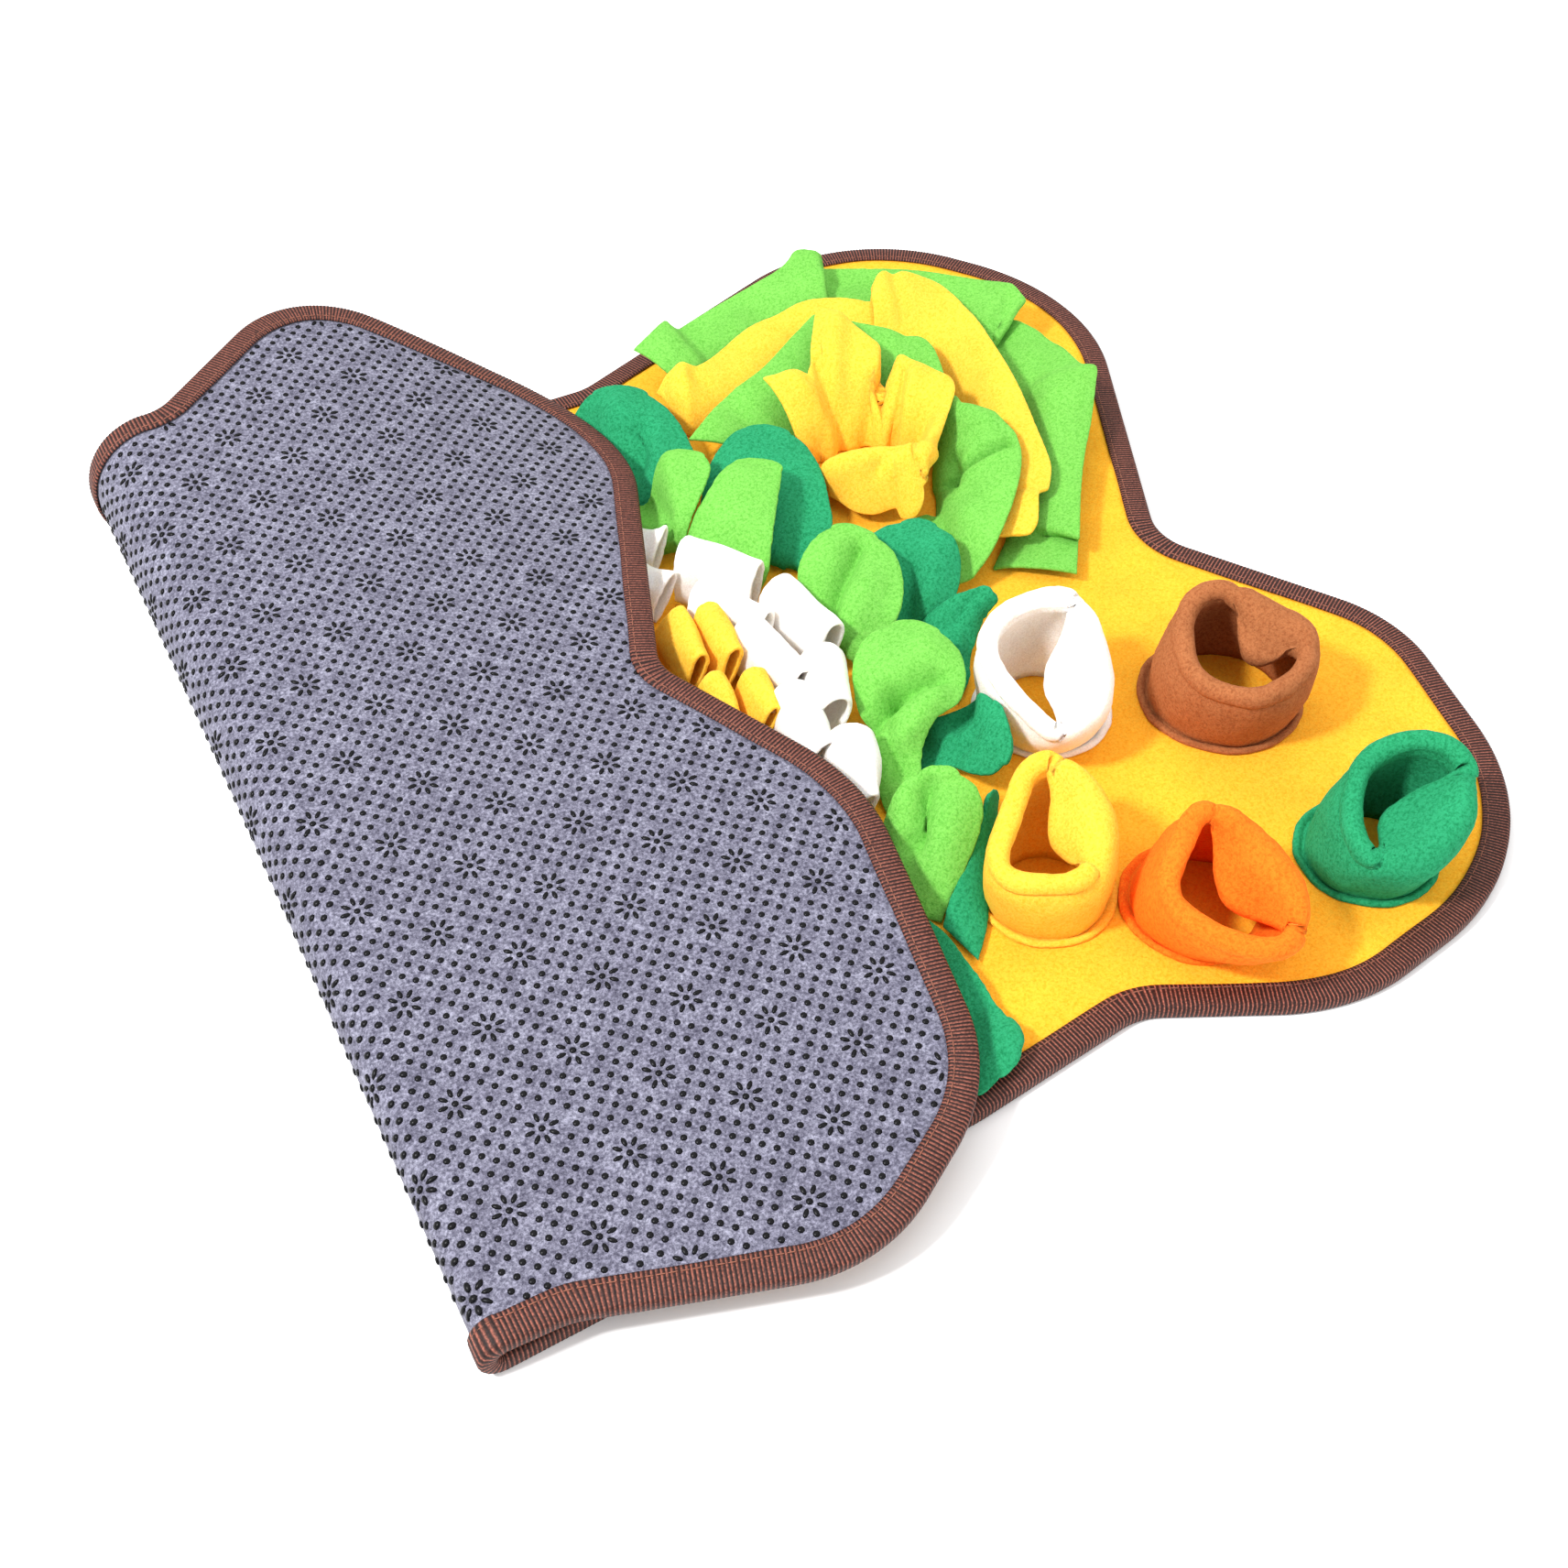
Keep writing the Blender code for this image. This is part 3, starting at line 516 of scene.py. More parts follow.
def felt_material():
    """Needled grey felt of lighter and darker fibres."""
    material, tree, principled = shader("felt", 0.95, 0.15, 0.2)
    mottle = noise_node(tree, 130, 5, 0.75)
    fibre = noise_node(tree, 850, 4, 0.75)
    colour = ramp(
        tree,
        mottle,
        ((0.34, (0.088, 0.085, 0.122)), (0.5, (0.125, 0.122, 0.167)), (0.66, (0.166, 0.165, 0.216))),
    )
    speckle = ramp(
        tree,
        fibre,
        ((0.36, (0.38, 0.37, 0.44)), (0.5, (1.0, 1.0, 1.0)), (0.64, (1.95, 1.95, 1.9))),
    )
    colour = multiplied(tree, colour, speckle)
    tree.links.new(colour, principled.inputs["Base Color"])
    bump(tree, principled, fibre, 0.5, 0.35)
    return material


def webbing_material():
    """Ribbed brown nylon tape, its colour painted nearly black between the ribs as shade and lighter on their
    crests as a highlight.
    """
    material, tree, principled = shader("webbing", 0.6, 0.0, 0.25)
    rib = tree.nodes.new("ShaderNodeAttribute")
    rib.attribute_name = "rib"
    # Painted shade and highlight: nearly black in the grooves between the ribs, lighter brown on their
    # crests.
    colour = ramp(
        tree,
        rib.outputs["Fac"],
        ((0.0, (0.006, 0.002, 0.002)), (0.5, (0.035, 0.011, 0.008)), (1.0, (0.30, 0.098, 0.066))),
    )
    yarn = noise_node(tree, 1400, 2)
    speckle = ramp(tree, yarn, ((0.32, (0.45, 0.42, 0.42)), (0.68, (1.6, 1.6, 1.6))))
    colour = multiplied(tree, colour, speckle)
    tree.links.new(colour, principled.inputs["Base Color"])
    bump(tree, principled, yarn, 0.6, 0.25)
    return material


def plain(name, colour, roughness, specular=0.5):
    """One colour with a slight change of tone."""
    material, tree, principled = shader(name, roughness, 0.0, specular)
    shade = noise_node(tree, 700, 2)
    tone = ramp(tree, shade, ((0.3, tuple(c * 0.8 for c in colour)), (0.7, colour)))
    tree.links.new(tone, principled.inputs["Base Color"])
    return material


FELT = felt_material()
WEBBING = webbing_material()
THREAD = plain("brown thread", (0.26, 0.10, 0.065), 0.7, 0.2)
RUBBER = plain("black dots", (0.002, 0.002, 0.003), 0.35, 0.15)


# The pad.
def pad_sheet(name, near_face, far_face, material, node):
    """One of the pad's two layers, between two offsets from its middle surface."""
    edge = evenly(OUTLINE, PAD_GRID)
    flat = bmesh.new()
    flat.faces.new([flat.verts.new((p.x, p.y, 0)) for p in inset(edge, PAD_INSET)])
    cuts = [((x, 0, 0), (1, 0, 0)) for x in lines(-GRID_REACH_X, GRID_REACH_X, PAD_GRID)]
    cuts += [((0, y, 0), (0, 1, 0)) for y in lines(-GRID_REACH_Y, GRID_REACH_Y, PAD_GRID)]
    for through, normal in cuts:
        everything = flat.verts[:] + flat.edges[:] + flat.faces[:]
        bmesh.ops.bisect_plane(flat, geom=everything, dist=CUT_TOLERANCE, plane_co=through, plane_no=normal)
    flat.verts.index_update()
    count = len(flat.verts)
    places = [(v.co.x, v.co.y) for v in flat.verts]
    vertices = [folded(x, y, far_face)[0] for x, y in places]
    vertices += [folded(x, y, near_face)[0] for x, y in places]
    faces = []
    for face in flat.faces:
        corners = [v.index for v in face.verts]
        faces.append(corners)
        faces.append([count + v for v in reversed(corners)])
    for side in flat.edges:
        if len(side.link_faces) == 1:
            a, b = (v.index for v in side.verts)
            faces.append([a, b, count + b, count + a])
    flat.free()
    return piece(name, vertices, faces, material, (node,))


# The binding: its ribs, how its inner edge wanders, and the corners of its section on one face, which the
# other mirrors. Each has a depth in from the pad's edge, an offset from the pad's middle surface and a share
# of the ribs' relief.
RIB_PITCH = 1.5
RIB_STEPS = 3
RIB_RELIEF = 0.3
WANDER = 0.5
WANDER_SIZE = 30
WANDER_SEED = 3
WANDERS_FROM = 5
TAPE_OUTER, TAPE_INNER = BINDING_FACE - 0.1, BINDING_FACE - BINDING_THICK
TapeCorner = namedtuple("TapeCorner", "depth offset relief")
TAPE_SECTION = (
    TapeCorner(0.25, TAPE_OUTER - 0.9, 1.0),
    TapeCorner(1.3, TAPE_OUTER - 0.1, 1.0),
    TapeCorner(BINDING_WIDTH * 0.5, TAPE_OUTER, 1.0),
    TapeCorner(BINDING_WIDTH - 0.9, TAPE_OUTER - 0.1, 1.0),
    TapeCorner(BINDING_WIDTH, TAPE_OUTER - 0.6, 0.6),
    TapeCorner(BINDING_WIDTH - 0.3, TAPE_INNER, 0.0),
    TapeCorner(BINDING_THICK, TAPE_INNER, 0.0),
)


def edge_binding():
    """Webbing folded round the pad's edge, its ribs running across it."""
    ribs = round(sum((b - a).length for a, b in OUTLINE_SIDES) / RIB_PITCH)
    edge = evenly(OUTLINE, RIB_PITCH / RIB_STEPS)
    count = len(edge)
    wander = [WANDER * noise.noise(Vector((p.x / WANDER_SIZE, p.y / WANDER_SIZE, WANDER_SEED))) for p in edge]
    section = [TapeCorner(0.0, 0.0, 1.0), *TAPE_SECTION]
    section += [corner._replace(offset=-corner.offset) for corner in reversed(TAPE_SECTION)]
    crest = [0.5 + 0.5 * math.cos(2 * math.pi * ribs * k / count) for k in range(count)]
    # The crest share also colours the tape, as painted shade between the ribs and a painted highlight on
    # them.
    vertices, rib = [], []
    for depth, offset, relief in section:
        at_edge = [depth + (wander[k] if depth > WANDERS_FROM else 0) for k in range(count)]
        for p, r in zip(inset(edge, at_edge), crest):
            raised = offset + math.copysign(RIB_RELIEF * relief * (r - 1), offset) if offset else 0.0
            vertices.append(folded(p.x, p.y, raised)[0])
            rib.append(r)
    faces = tube_faces(len(section), count)
    nodes = ("edge_binding",)
    return piece("edge_binding_tape", vertices, faces, WEBBING, nodes, [("rib", rib)])


# The stitches: how far a thread sinks into the tape under the pad or stands off it elsewhere, and the
# thread's rings, each a share of its length and of its radius.
STITCH_PITCH = 3.6
STITCH_LENGTH = 2.8
STITCH_DEPTH = 8.4
STITCH_RADIUS = 0.22
STITCH_SUNK = 0.35
STITCH_PROUD = 0.05
THREAD_RINGS = ((0.0, 0.35), (0.15, 1.0), (0.85, 1.0), (1.0, 0.35))


def capsule(a, b, radius, vertices, faces, sides=5):
    """Adds a short round thread from a to b."""
    a, b = Vector(a), Vector(b)
    along = (b - a).normalized()
    side = along.orthogonal().normalized()
    other = along.cross(side)
    first = len(vertices)
    for at, share in THREAD_RINGS:
        for k in range(sides):
            turn = 2 * math.pi * k / sides
            vertices.append(a.lerp(b, at) + (side * math.cos(turn) + other * math.sin(turn)) * radius * share)
    for ring in range(len(THREAD_RINGS) - 1):
        for k in range(sides):
            here, on = first + ring * sides + k, first + ring * sides + (k + 1) % sides
            faces.append((here, on, on + sides, here + sides))
    faces.append([first + k for k in reversed(range(sides))])
    faces.append([first + (len(THREAD_RINGS) - 1) * sides + k for k in range(sides)])


def stitching():
    """The lockstitch that holds the binding, a thread on each face."""
    edge = inset(evenly(OUTLINE, STITCH_PITCH), STITCH_DEPTH)
    vertices, faces = [], []
    for side in (1, -1):
        for i, p in enumerate(edge):
            on = edge[(i + 1) % len(edge)]
            end = p.lerp(on, STITCH_LENGTH / STITCH_PITCH)
            on_floor = side > 0 and p.x > FOLD_X + FOLD_HALF
            face = side * (BINDING_FACE - STITCH_SUNK if on_floor else BINDING_FACE + STITCH_PROUD)
            capsule(folded(p.x, p.y, face)[0], folded(end.x, end.y, face)[0], STITCH_RADIUS, vertices, faces)
    return piece("binding_stitches", vertices, faces, THREAD)


# The felt's rubber dots: a square lattice set at an angle, with a flower at every sixth dot each way. The
# rings of a dot are each a share of its radius and of its height.
LATTICE_START = (-208.97, -129.3)
LATTICE_ALONG = (-3.406, -3.382)
LATTICE_ACROSS = (3.382, -3.406)
LATTICE_REACH = 160
FLOWER_EVERY = 6
DOT_RADIUS = 1.25
DOT_HEIGHT = 0.55
FLOWER_RADIUS = 4.1
FLOWER_PETALS = 8
PETAL_LONG = 1.85
PETAL_SHORT = 0.9
DOT_SIDES = 8
DOT_HEIGHT_UNDER = 0.9
DOT_SIDES_UNDER = 6
DOME_RINGS = ((1.0, -0.1), (0.72, 0.75))
BORDER_STEP = 12
BORDER_CLEAR = 1.2
DOTS_TO_FOLD = 8
DOTS_REACH_X, DOTS_REACH_Y = 360, 280


def inside_outline(x, y, outline):
    """Whether a point of the flat pad is inside a closed outline."""
    inside = False
    for i, b in enumerate(outline):
        a = outline[i - 1]
        if (a.y > y) != (b.y > y) and x < a.x + (b.x - a.x) * (y - a.y) / (b.y - a.y):
            inside = not inside
    return inside


def dome(x, y, turn, long, short, height, sides, vertices, faces):
    """Adds a low rubber dome on the felt, long along its turn."""
    first = len(vertices)
    base, out = folded(x, y, FELT_FACE)
    for share, rise in DOME_RINGS:
        for k in range(sides):
            angle = 2 * math.pi * k / sides
            u, v = long * share * math.cos(angle), short * share * math.sin(angle)
            dx, dy = u * math.cos(turn) - v * math.sin(turn), u * math.sin(turn) + v * math.cos(turn)
            vertices.append(folded(x + dx, y + dy, FELT_FACE + height * rise)[0])
    vertices.append(base + out * height)
    top = len(vertices) - 1
    for k in range(sides):
        on = (k + 1) % sides
        faces.append((first + k, first + on, first + sides + on, first + sides + k))
        faces.append((first + sides + k, first + sides + on, top))
    faces.append([first + k for k in reversed(range(sides))])


def rubber_dots(name, on_flap):
    """The dots of the half folded over, or of the half that lies on the floor."""
    border = inset(evenly(OUTLINE, BORDER_STEP), BINDING_WIDTH + BORDER_CLEAR)
    height, sides = (DOT_HEIGHT, DOT_SIDES) if on_flap else (DOT_HEIGHT_UNDER, DOT_SIDES_UNDER)
    vertices, faces = [], []
    for i in range(-LATTICE_REACH, LATTICE_REACH):
        for j in range(-LATTICE_REACH, LATTICE_REACH):
            x = LATTICE_START[0] + i * LATTICE_ALONG[0] + j * LATTICE_ACROSS[0]
            y = LATTICE_START[1] + i * LATTICE_ALONG[1] + j * LATTICE_ACROSS[1]
            if (x < FOLD_X + DOTS_TO_FOLD) != on_flap or abs(x) > DOTS_REACH_X or abs(y) > DOTS_REACH_Y:
                continue
            near = [round(v / FLOWER_EVERY) * FLOWER_EVERY - v for v in (i, j)]
            if near == [0, 0]:
                for k in range(FLOWER_PETALS):
                    turn = math.atan2(LATTICE_ALONG[1], LATTICE_ALONG[0]) + 2 * math.pi * k / FLOWER_PETALS
                    px, py = x + FLOWER_RADIUS * math.cos(turn), y + FLOWER_RADIUS * math.sin(turn)
                    if inside_outline(px, py, border):
                        dome(px, py, turn, PETAL_LONG, PETAL_SHORT, height, sides, vertices, faces)
            elif max(map(abs, near)) <= 1:
                continue
            if inside_outline(x, y, border):
                dome(x, y, 0, DOT_RADIUS, DOT_RADIUS, height, sides, vertices, faces)
    return piece(name, vertices, faces, RUBBER)


def pad():
    """The felt and fleece, their binding, its stitches and the felt's dots."""
    felt = pad_sheet("felt_backing", INNER_FACE, FELT_FACE, FELT, "backing_felt")
    top = pad_sheet("fleece_top", -FLEECE_FACE, -INNER_FACE, GOLD, "top_fleece")
    edge_binding()
    stitching()
    rubber_dots("dots_on_flap", True)
    rubber_dots("dots_under", False)


# What is sewn on.
CLOTH = 1.8
RIM_CLEAR = 2.0
PILE_TOP = 40.0
PRESS_MARGIN = 16.0
GRAIN_STEP = 1.6
FAR = 1e9
COARSE_OUTLINE = evenly(OUTLINE, COARSE_STEP)


def flap_cover(x, y):
    """How far a point on the floor is inside the flap's edge, seen from above; less than 0 outside it."""
    on_flap = Vector((2 * FOLD_X - x, y))
    nearest = FAR
    for i, b in enumerate(COARSE_OUTLINE):
        a = COARSE_OUTLINE[i - 1]
        along = b - a
        share = min(max((on_flap - a).dot(along) / along.length_squared, 0), 1)
        nearest = min(nearest, (on_flap - a - along * share).length)
    return nearest if inside_outline(on_flap.x, on_flap.y, COARSE_OUTLINE) else -nearest


def pressed(point):
    """The point, pushed down where the flap lies over it."""
    point = Vector(point)
    cover = between(-PRESS_MARGIN, 0, flap_cover(point.x, point.y))
    if cover == 0:
        return point
    ceiling = flap_height(point.x - FOLD_X, point.y) - BINDING_FACE - RIM_CLEAR - CLOTH / 2
    full, room = PILE_TOP - SEWN_FACE, min(ceiling, PILE_TOP) - SEWN_FACE
    height = max(point.z - SEWN_FACE, 0)
    squeezed = height / (1 + height * (1 / room - 1 / full))
    return Vector((point.x, point.y, SEWN_FACE + height + cover * (squeezed - height)))


SLOTS = {
    "yellow": (YELLOW, "fleece_yellow"),
    "light_green": (LIGHT_GREEN, "fleece_light_green"),
    "dark_green": (DARK_GREEN, "fleece_dark_green"),
    "white": (WHITE, "fleece_white"),
    "orange": (ORANGE, "fleece_orange"),
    "brown": (BROWN, "fleece_brown"),
}


def lying_above(vertices):
    """The vertices, none lower than the fleece they are sewn to."""
    return [Vector((v[0], v[1], max(v[2], SEWN_FACE))) for v in vertices]


# Soft creases: a line across a piece, seen from above, how wide it is and how high; a trough is below 0.
Crease = namedtuple("Crease", "x y to_x to_y wide high")


def seen_crease(px, py, z, to_px, to_py, to_z, wide, high):
    """A crease between two pixels at their heights."""
    return Crease(*plan(px, py, z), *plan(to_px, to_py, to_z), wide, high)


CREASES = {
    "petal_light_a": (
        seen_crease(703, 522, 29, 722, 560, 26, 5, -5), Crease(108, 100, 104, 84, 6, 1.5),
    ),
    "petal_light_b": (
        seen_crease(800, 640, 16, 808, 560, 28, 8, -2), Crease(128, 80, 114, 52, 7, 1),
    ),
    "petal_light_c": (
        seen_crease(903, 668, 24, 938, 603, 30, 4, -7), seen_crease(925, 690, 20, 950, 650, 26, 6, 2.5),
        Crease(126, 14, 138, 20, 5, 1.5),
    ),
    "petal_light_d": (
        seen_crease(948, 802, 15, 972, 772, 22, 4, -7), Crease(118, -62, 136, -65, 4, -6.5),
        Crease(114, -76, 132, -71, 5, 4), seen_crease(968, 812, 14, 985, 850, 12, 4, -4),
        Crease(121, -50, 138, -52, 7, 3),
    ),
    "petal_light_e": (
        seen_crease(1003, 915, 23, 1012, 868, 30, 4, -7), seen_crease(985, 900, 24, 992, 872, 29, 5, 2.5),
        seen_crease(1030, 950, 17, 1040, 900, 26, 7, 2),
    ),
    "petal_dark_a": (
        seen_crease(695, 508, 15, 699, 478, 19, 5, -6), seen_crease(660, 480, 18, 680, 450, 21, 8, 3),
    ),
    "petal_dark_b": (
        seen_crease(870, 610, 12, 884, 560, 17, 5, -2.5), seen_crease(800, 520, 20, 815, 480, 24, 7, 2),
    ),
    "petal_dark_c": (
        seen_crease(992, 685, 11, 994, 630, 18, 4, -4.5), seen_crease(1015, 650, 18, 1030, 600, 24, 7, 2.5),
    ),
    "petal_dark_d": (
        seen_crease(1040, 690, 14, 1060, 665, 20, 4, -3), seen_crease(1056, 700, 12, 1062, 725, 10, 4, -2),
    ),
    "petal_dark_e": (
        seen_crease(1054, 762, 26, 1049, 790, 18, 4, -7), seen_crease(1020, 795, 14, 1046, 806, 16, 4, 2),
        seen_crease(1070, 830, 18, 1090, 800, 26, 6, 2), seen_crease(1055, 820, 15, 1062, 808, 19, 5, -2),
    ),
    "petal_dark_g": (
        seen_crease(1050, 1120, 8, 1075, 1095, 12, 6, -3), seen_crease(1080, 1170, 8, 1100, 1140, 11, 6, 2),
    ),
    "rosette_yellow_inner": (
        Crease(194, 127, 190, 98, 4, -3.0), seen_crease(912, 360, 36, 905, 470, 18, 5, 3.0),
        seen_crease(955, 430, 24, 940, 492, 13, 4, -4.0), seen_crease(1000, 410, 34, 985, 492, 14, 4, 2.5),
        seen_crease(985, 405, 33, 975, 490, 14, 3, -3.5), Crease(171, 84, 204, 78, 3, -4.0),
        Crease(170, 72, 204, 52, 5, 3.0), Crease(185, 60, 196, 60, 3, -3.0), Crease(198, 60, 192, 40, 4, 2.5),
        Crease(178, 122, 184, 102, 4, 2.0),
    ),
    "rosette_yellow_outer": (
        seen_crease(975, 302, 33, 985, 362, 20, 3, -2.0), seen_crease(965, 300, 34, 956, 330, 28, 3, 1.5),
        seen_crease(735, 402, 24, 724, 436, 14, 3, -1.5), seen_crease(760, 430, 14, 790, 450, 10, 4, -1.5),
        seen_crease(1040, 350, 26, 1060, 430, 12, 7, -2.0),
        seen_crease(1100, 540, 20, 1148, 533, 24, 3, -2.0), seen_crease(850, 350, 26, 870, 385, 14, 8, -1.5),
    ),
    "rosette_green_outer": (
        seen_crease(905, 320, 16, 950, 318, 20, 4, -1.5), seen_crease(1098, 350, 16, 1090, 385, 12, 4, -2.0),
        seen_crease(1118, 428, 18, 1195, 412, 24, 5, 2.0), seen_crease(1150, 360, 20, 1120, 440, 14, 6, -2.0),
        seen_crease(735, 365, 20, 752, 398, 12, 4, -1.5), seen_crease(1150, 440, 20, 1150, 500, 18, 7, 1.5),
        seen_crease(820, 340, 22, 840, 370, 14, 8, -1.5), seen_crease(880, 285, 28, 905, 320, 20, 6, 1.5),
    ),
    "rosette_green_inner": (
        seen_crease(1036, 516, 20, 1100, 493, 26, 2.5, -7.0),
        seen_crease(1040, 455, 22, 1075, 470, 26, 6, 4.0), Crease(222, 58, 213, 44, 3, -4.0),
        seen_crease(1060, 560, 22, 1050, 620, 16, 7, 1.5), seen_crease(985, 365, 26, 990, 395, 20, 4, -2.0),
        seen_crease(800, 445, 20, 820, 470, 16, 6, -1.5), seen_crease(1018, 530, 14, 1030, 580, 14, 5, -1.5),
    ),
}


def creased(grid, creases):
    """The grid with its soft creases, each a rounded trough or ridge along its line."""
    grid = np.array(grid, float)
    normal = normals(grid)
    normal *= np.where(normal[..., 2:] < 0, -1, 1)
    rise = np.zeros(grid.shape[:2])
    for c in creases:
        start, along = np.array((c.x, c.y)), np.array((c.to_x - c.x, c.to_y - c.y))
        share = np.clip((grid[..., :2] - start) @ along / (along @ along), 0, 1)
        away = np.linalg.norm(grid[..., :2] - start - share[..., None] * along, axis=2)
        rise += c.high * np.exp(-((away / c.wide) ** 2))
    return grid + normal * rise[..., None]


def cloth(name, node, grid, colour):
    """A sheet of fleece around a grid of points that stands for a node."""
    grid = creased(grid, CREASES.get(node, ()))
    vertices, faces = cloth_mesh(grid, CLOTH)
    material, slot = SLOTS[colour]
    obj = piece(name, lying_above(fuzzed(vertices)), faces, material, (node,))
    return obj


# The cups: the middle and radius of each one's foot, a pixel inside its opening, and points round its rim,
# each with the pixel it is seen at and its height above the fleece. Where the wall bends over inwards,
# over_px, over_py and over_height are where it stands highest.
Cup = namedtuple("Cup", "name colour x y foot opening_px opening_py rim")
Rim = namedtuple("Rim", "px py height over_px over_py over_height", defaults=(None, None, None))
CUPS = (
    Cup("cup_white", "white", 178, -77, 21, 1140, 720, (
        Rim(1172, 645, 46), Rim(1145, 643, 46), Rim(1115, 652, 44), Rim(1090, 668, 41), Rim(1078, 690, 38),
        Rim(1080, 712, 36), Rim(1095, 738, 33), Rim(1118, 763, 30), Rim(1140, 785, 28), Rim(1155, 795, 28),
        Rim(1168, 785, 27, 1182, 789, 30), Rim(1162, 765, 27, 1200, 765, 34),
        Rim(1152, 745, 28, 1207, 745, 37), Rim(1153, 722, 32, 1206, 720, 40),
        Rim(1167, 695, 37, 1199, 690, 42), Rim(1181, 665, 42, 1190, 660, 45),
    )),
    Cup("cup_brown", "brown", 243, -104, 26, 1350, 700, (
        Rim(1345, 633, 45), Rim(1325, 635, 44), Rim(1308, 643, 42), Rim(1297, 662, 40), Rim(1292, 685, 38),
        Rim(1296, 712, 36), Rim(1311, 735, 35), Rim(1335, 749, 34), Rim(1360, 755, 34), Rim(1385, 752, 35),
        Rim(1408, 741, 36), Rim(1425, 725, 37), Rim(1434, 706, 38), Rim(1414, 698, 35, 1438, 688, 40),
        Rim(1396, 708, 31, 1428, 672, 41), Rim(1377, 714, 29, 1408, 661, 41),
        Rim(1364, 704, 31, 1394, 656, 42), Rim(1360, 684, 35, 1378, 647, 43),
        Rim(1360, 658, 40, 1364, 637, 44),
    )),
    Cup("cup_yellow", "yellow", 127, -155, 19, 1146, 890, (
        Rim(1150, 820, 46), Rim(1137, 822, 46), Rim(1122, 835, 43), Rim(1110, 865, 40), Rim(1100, 895, 37),
        Rim(1090, 925, 34), Rim(1092, 942, 33), Rim(1110, 955, 32), Rim(1145, 958, 32), Rim(1175, 955, 32),
        Rim(1193, 946, 32), Rim(1190, 933, 30, 1204, 938, 34), Rim(1170, 924, 29, 1210, 920, 37),
        Rim(1158, 910, 31, 1212, 900, 40), Rim(1156, 890, 34, 1209, 878, 42),
        Rim(1160, 865, 38, 1196, 850, 43), Rim(1160, 838, 43, 1174, 830, 45),
    )),
    Cup("cup_orange", "orange", 172, -185, 22.5, 1325, 960, (
        Rim(1318, 874, 46), Rim(1301, 889, 43), Rim(1287, 925, 40), Rim(1276, 955, 36), Rim(1280, 975, 34),
        Rim(1300, 996, 32), Rim(1335, 1016, 31), Rim(1375, 1028, 31), Rim(1405, 1028, 31),
        Rim(1420, 1012, 31), Rim(1413, 999, 29, 1428, 988, 34), Rim(1382, 989, 24, 1419, 957, 37),
        Rim(1352, 978, 24, 1401, 930, 39), Rim(1339, 953, 27, 1381, 906, 41),
        Rim(1336, 922, 32, 1360, 885, 43), Rim(1336, 893, 40, 1343, 876, 45),
    )),
    Cup("cup_dark_green", "dark_green", 239, -195, 20, 1530, 880, (
        Rim(1608, 838, 45), Rim(1601, 820, 46), Rim(1580, 804, 46), Rim(1555, 799, 45), Rim(1525, 804, 43),
        Rim(1500, 818, 40), Rim(1484, 840, 38), Rim(1478, 868, 35), Rim(1479, 895, 33), Rim(1487, 919, 31),
        Rim(1502, 935, 30), Rim(1518, 918, 28, 1530, 936, 32), Rim(1514, 898, 28, 1555, 933, 34),
        Rim(1525, 884, 29, 1574, 923, 36), Rim(1545, 870, 32, 1592, 904, 39),
        Rim(1570, 857, 36, 1606, 880, 41), Rim(1592, 846, 41, 1611, 858, 44),
    )),
)
# How far in from over_px and over_py, in pixels, the wall's middle surface is taken to bend.
CUP_BEND_INSET = 6
CUP_AROUND = 110
# Half the wall's thickness at its foot, and what the puff adds to it at the rim.
CUP_HALF = 2.3
CUP_PUFF = 1.8
CUP_TOP = CUP_HALF + CUP_PUFF
CUP_PUFF_POWER = 1.5
CUP_WAIST = 0.84
CUP_SOFT = 16
CUP_EASE = 3
CUP_BELLY = 2.6
CUP_BELLY_LOW = 1.6
CUP_RISE_STEPS = 22
CUP_SHARES = [k / CUP_RISE_STEPS for k in range(CUP_RISE_STEPS + 1)]
CUP_CLEAR = 1
CUP_LUMP, CUP_LUMP_SIZE = 0.7, 11.0
CUP_NAP, CUP_NAP_SIZE = 0.25, 2.6
RIM_TURN = (0.15 * math.pi, 0.85 * math.pi)
RIM_STEPS = 6
# The hem at a cup's foot: how far out from the foot and how high each corner of it is.
FLANGE = ((5.6, 0.0), (6.3, 0.8), (6.1, 1.8), (5.1, 2.4), (4.0, 2.1), (3.2, 1.2), (2.6, 0.7))


def bent(start, through, end, share):
    """Points at a share of smooth curves from start, rising, through the middle points to the end."""
    slope = (end - start) / 2
    if share < 0.5:
        return curve(start, through - start, through, slope, 2 * share)
    return curve(through, slope, end, end - through, 2 * share - 1)


def rim_rows(c):
    """Points round a cup's rim, each with where its wall stands highest, from the foot's middle."""
    centre = np.array((c.x, c.y, SEWN_FACE))
    rows = []
    for r in c.rim:
        edge = np.array(seen(r.px, r.py, r.height + SEWN_FACE)) - centre
        foot = c.foot * edge[:2] / np.linalg.norm(edge[:2])
        over = (*(foot + (edge[:2] - foot) * CUP_WAIST), edge[2] * CUP_WAIST)
        if r.over_px is not None:
            inwards = Vector((c.opening_px - r.over_px, c.opening_py - r.over_py))
            inwards = inwards.normalized() * CUP_BEND_INSET
            over = seen(r.over_px + inwards.x, r.over_py + inwards.y, r.over_height + SEWN_FACE)
            over = np.array(over) - centre
        rows.append((*edge, *over))
    return rows


def smoothed(ring, axis):
    """A closed ring of points, each drawn halfway to the middle of its neighbours."""
    return 0.5 * ring + 0.25 * (np.roll(ring, 1, axis) + np.roll(ring, -1, axis))


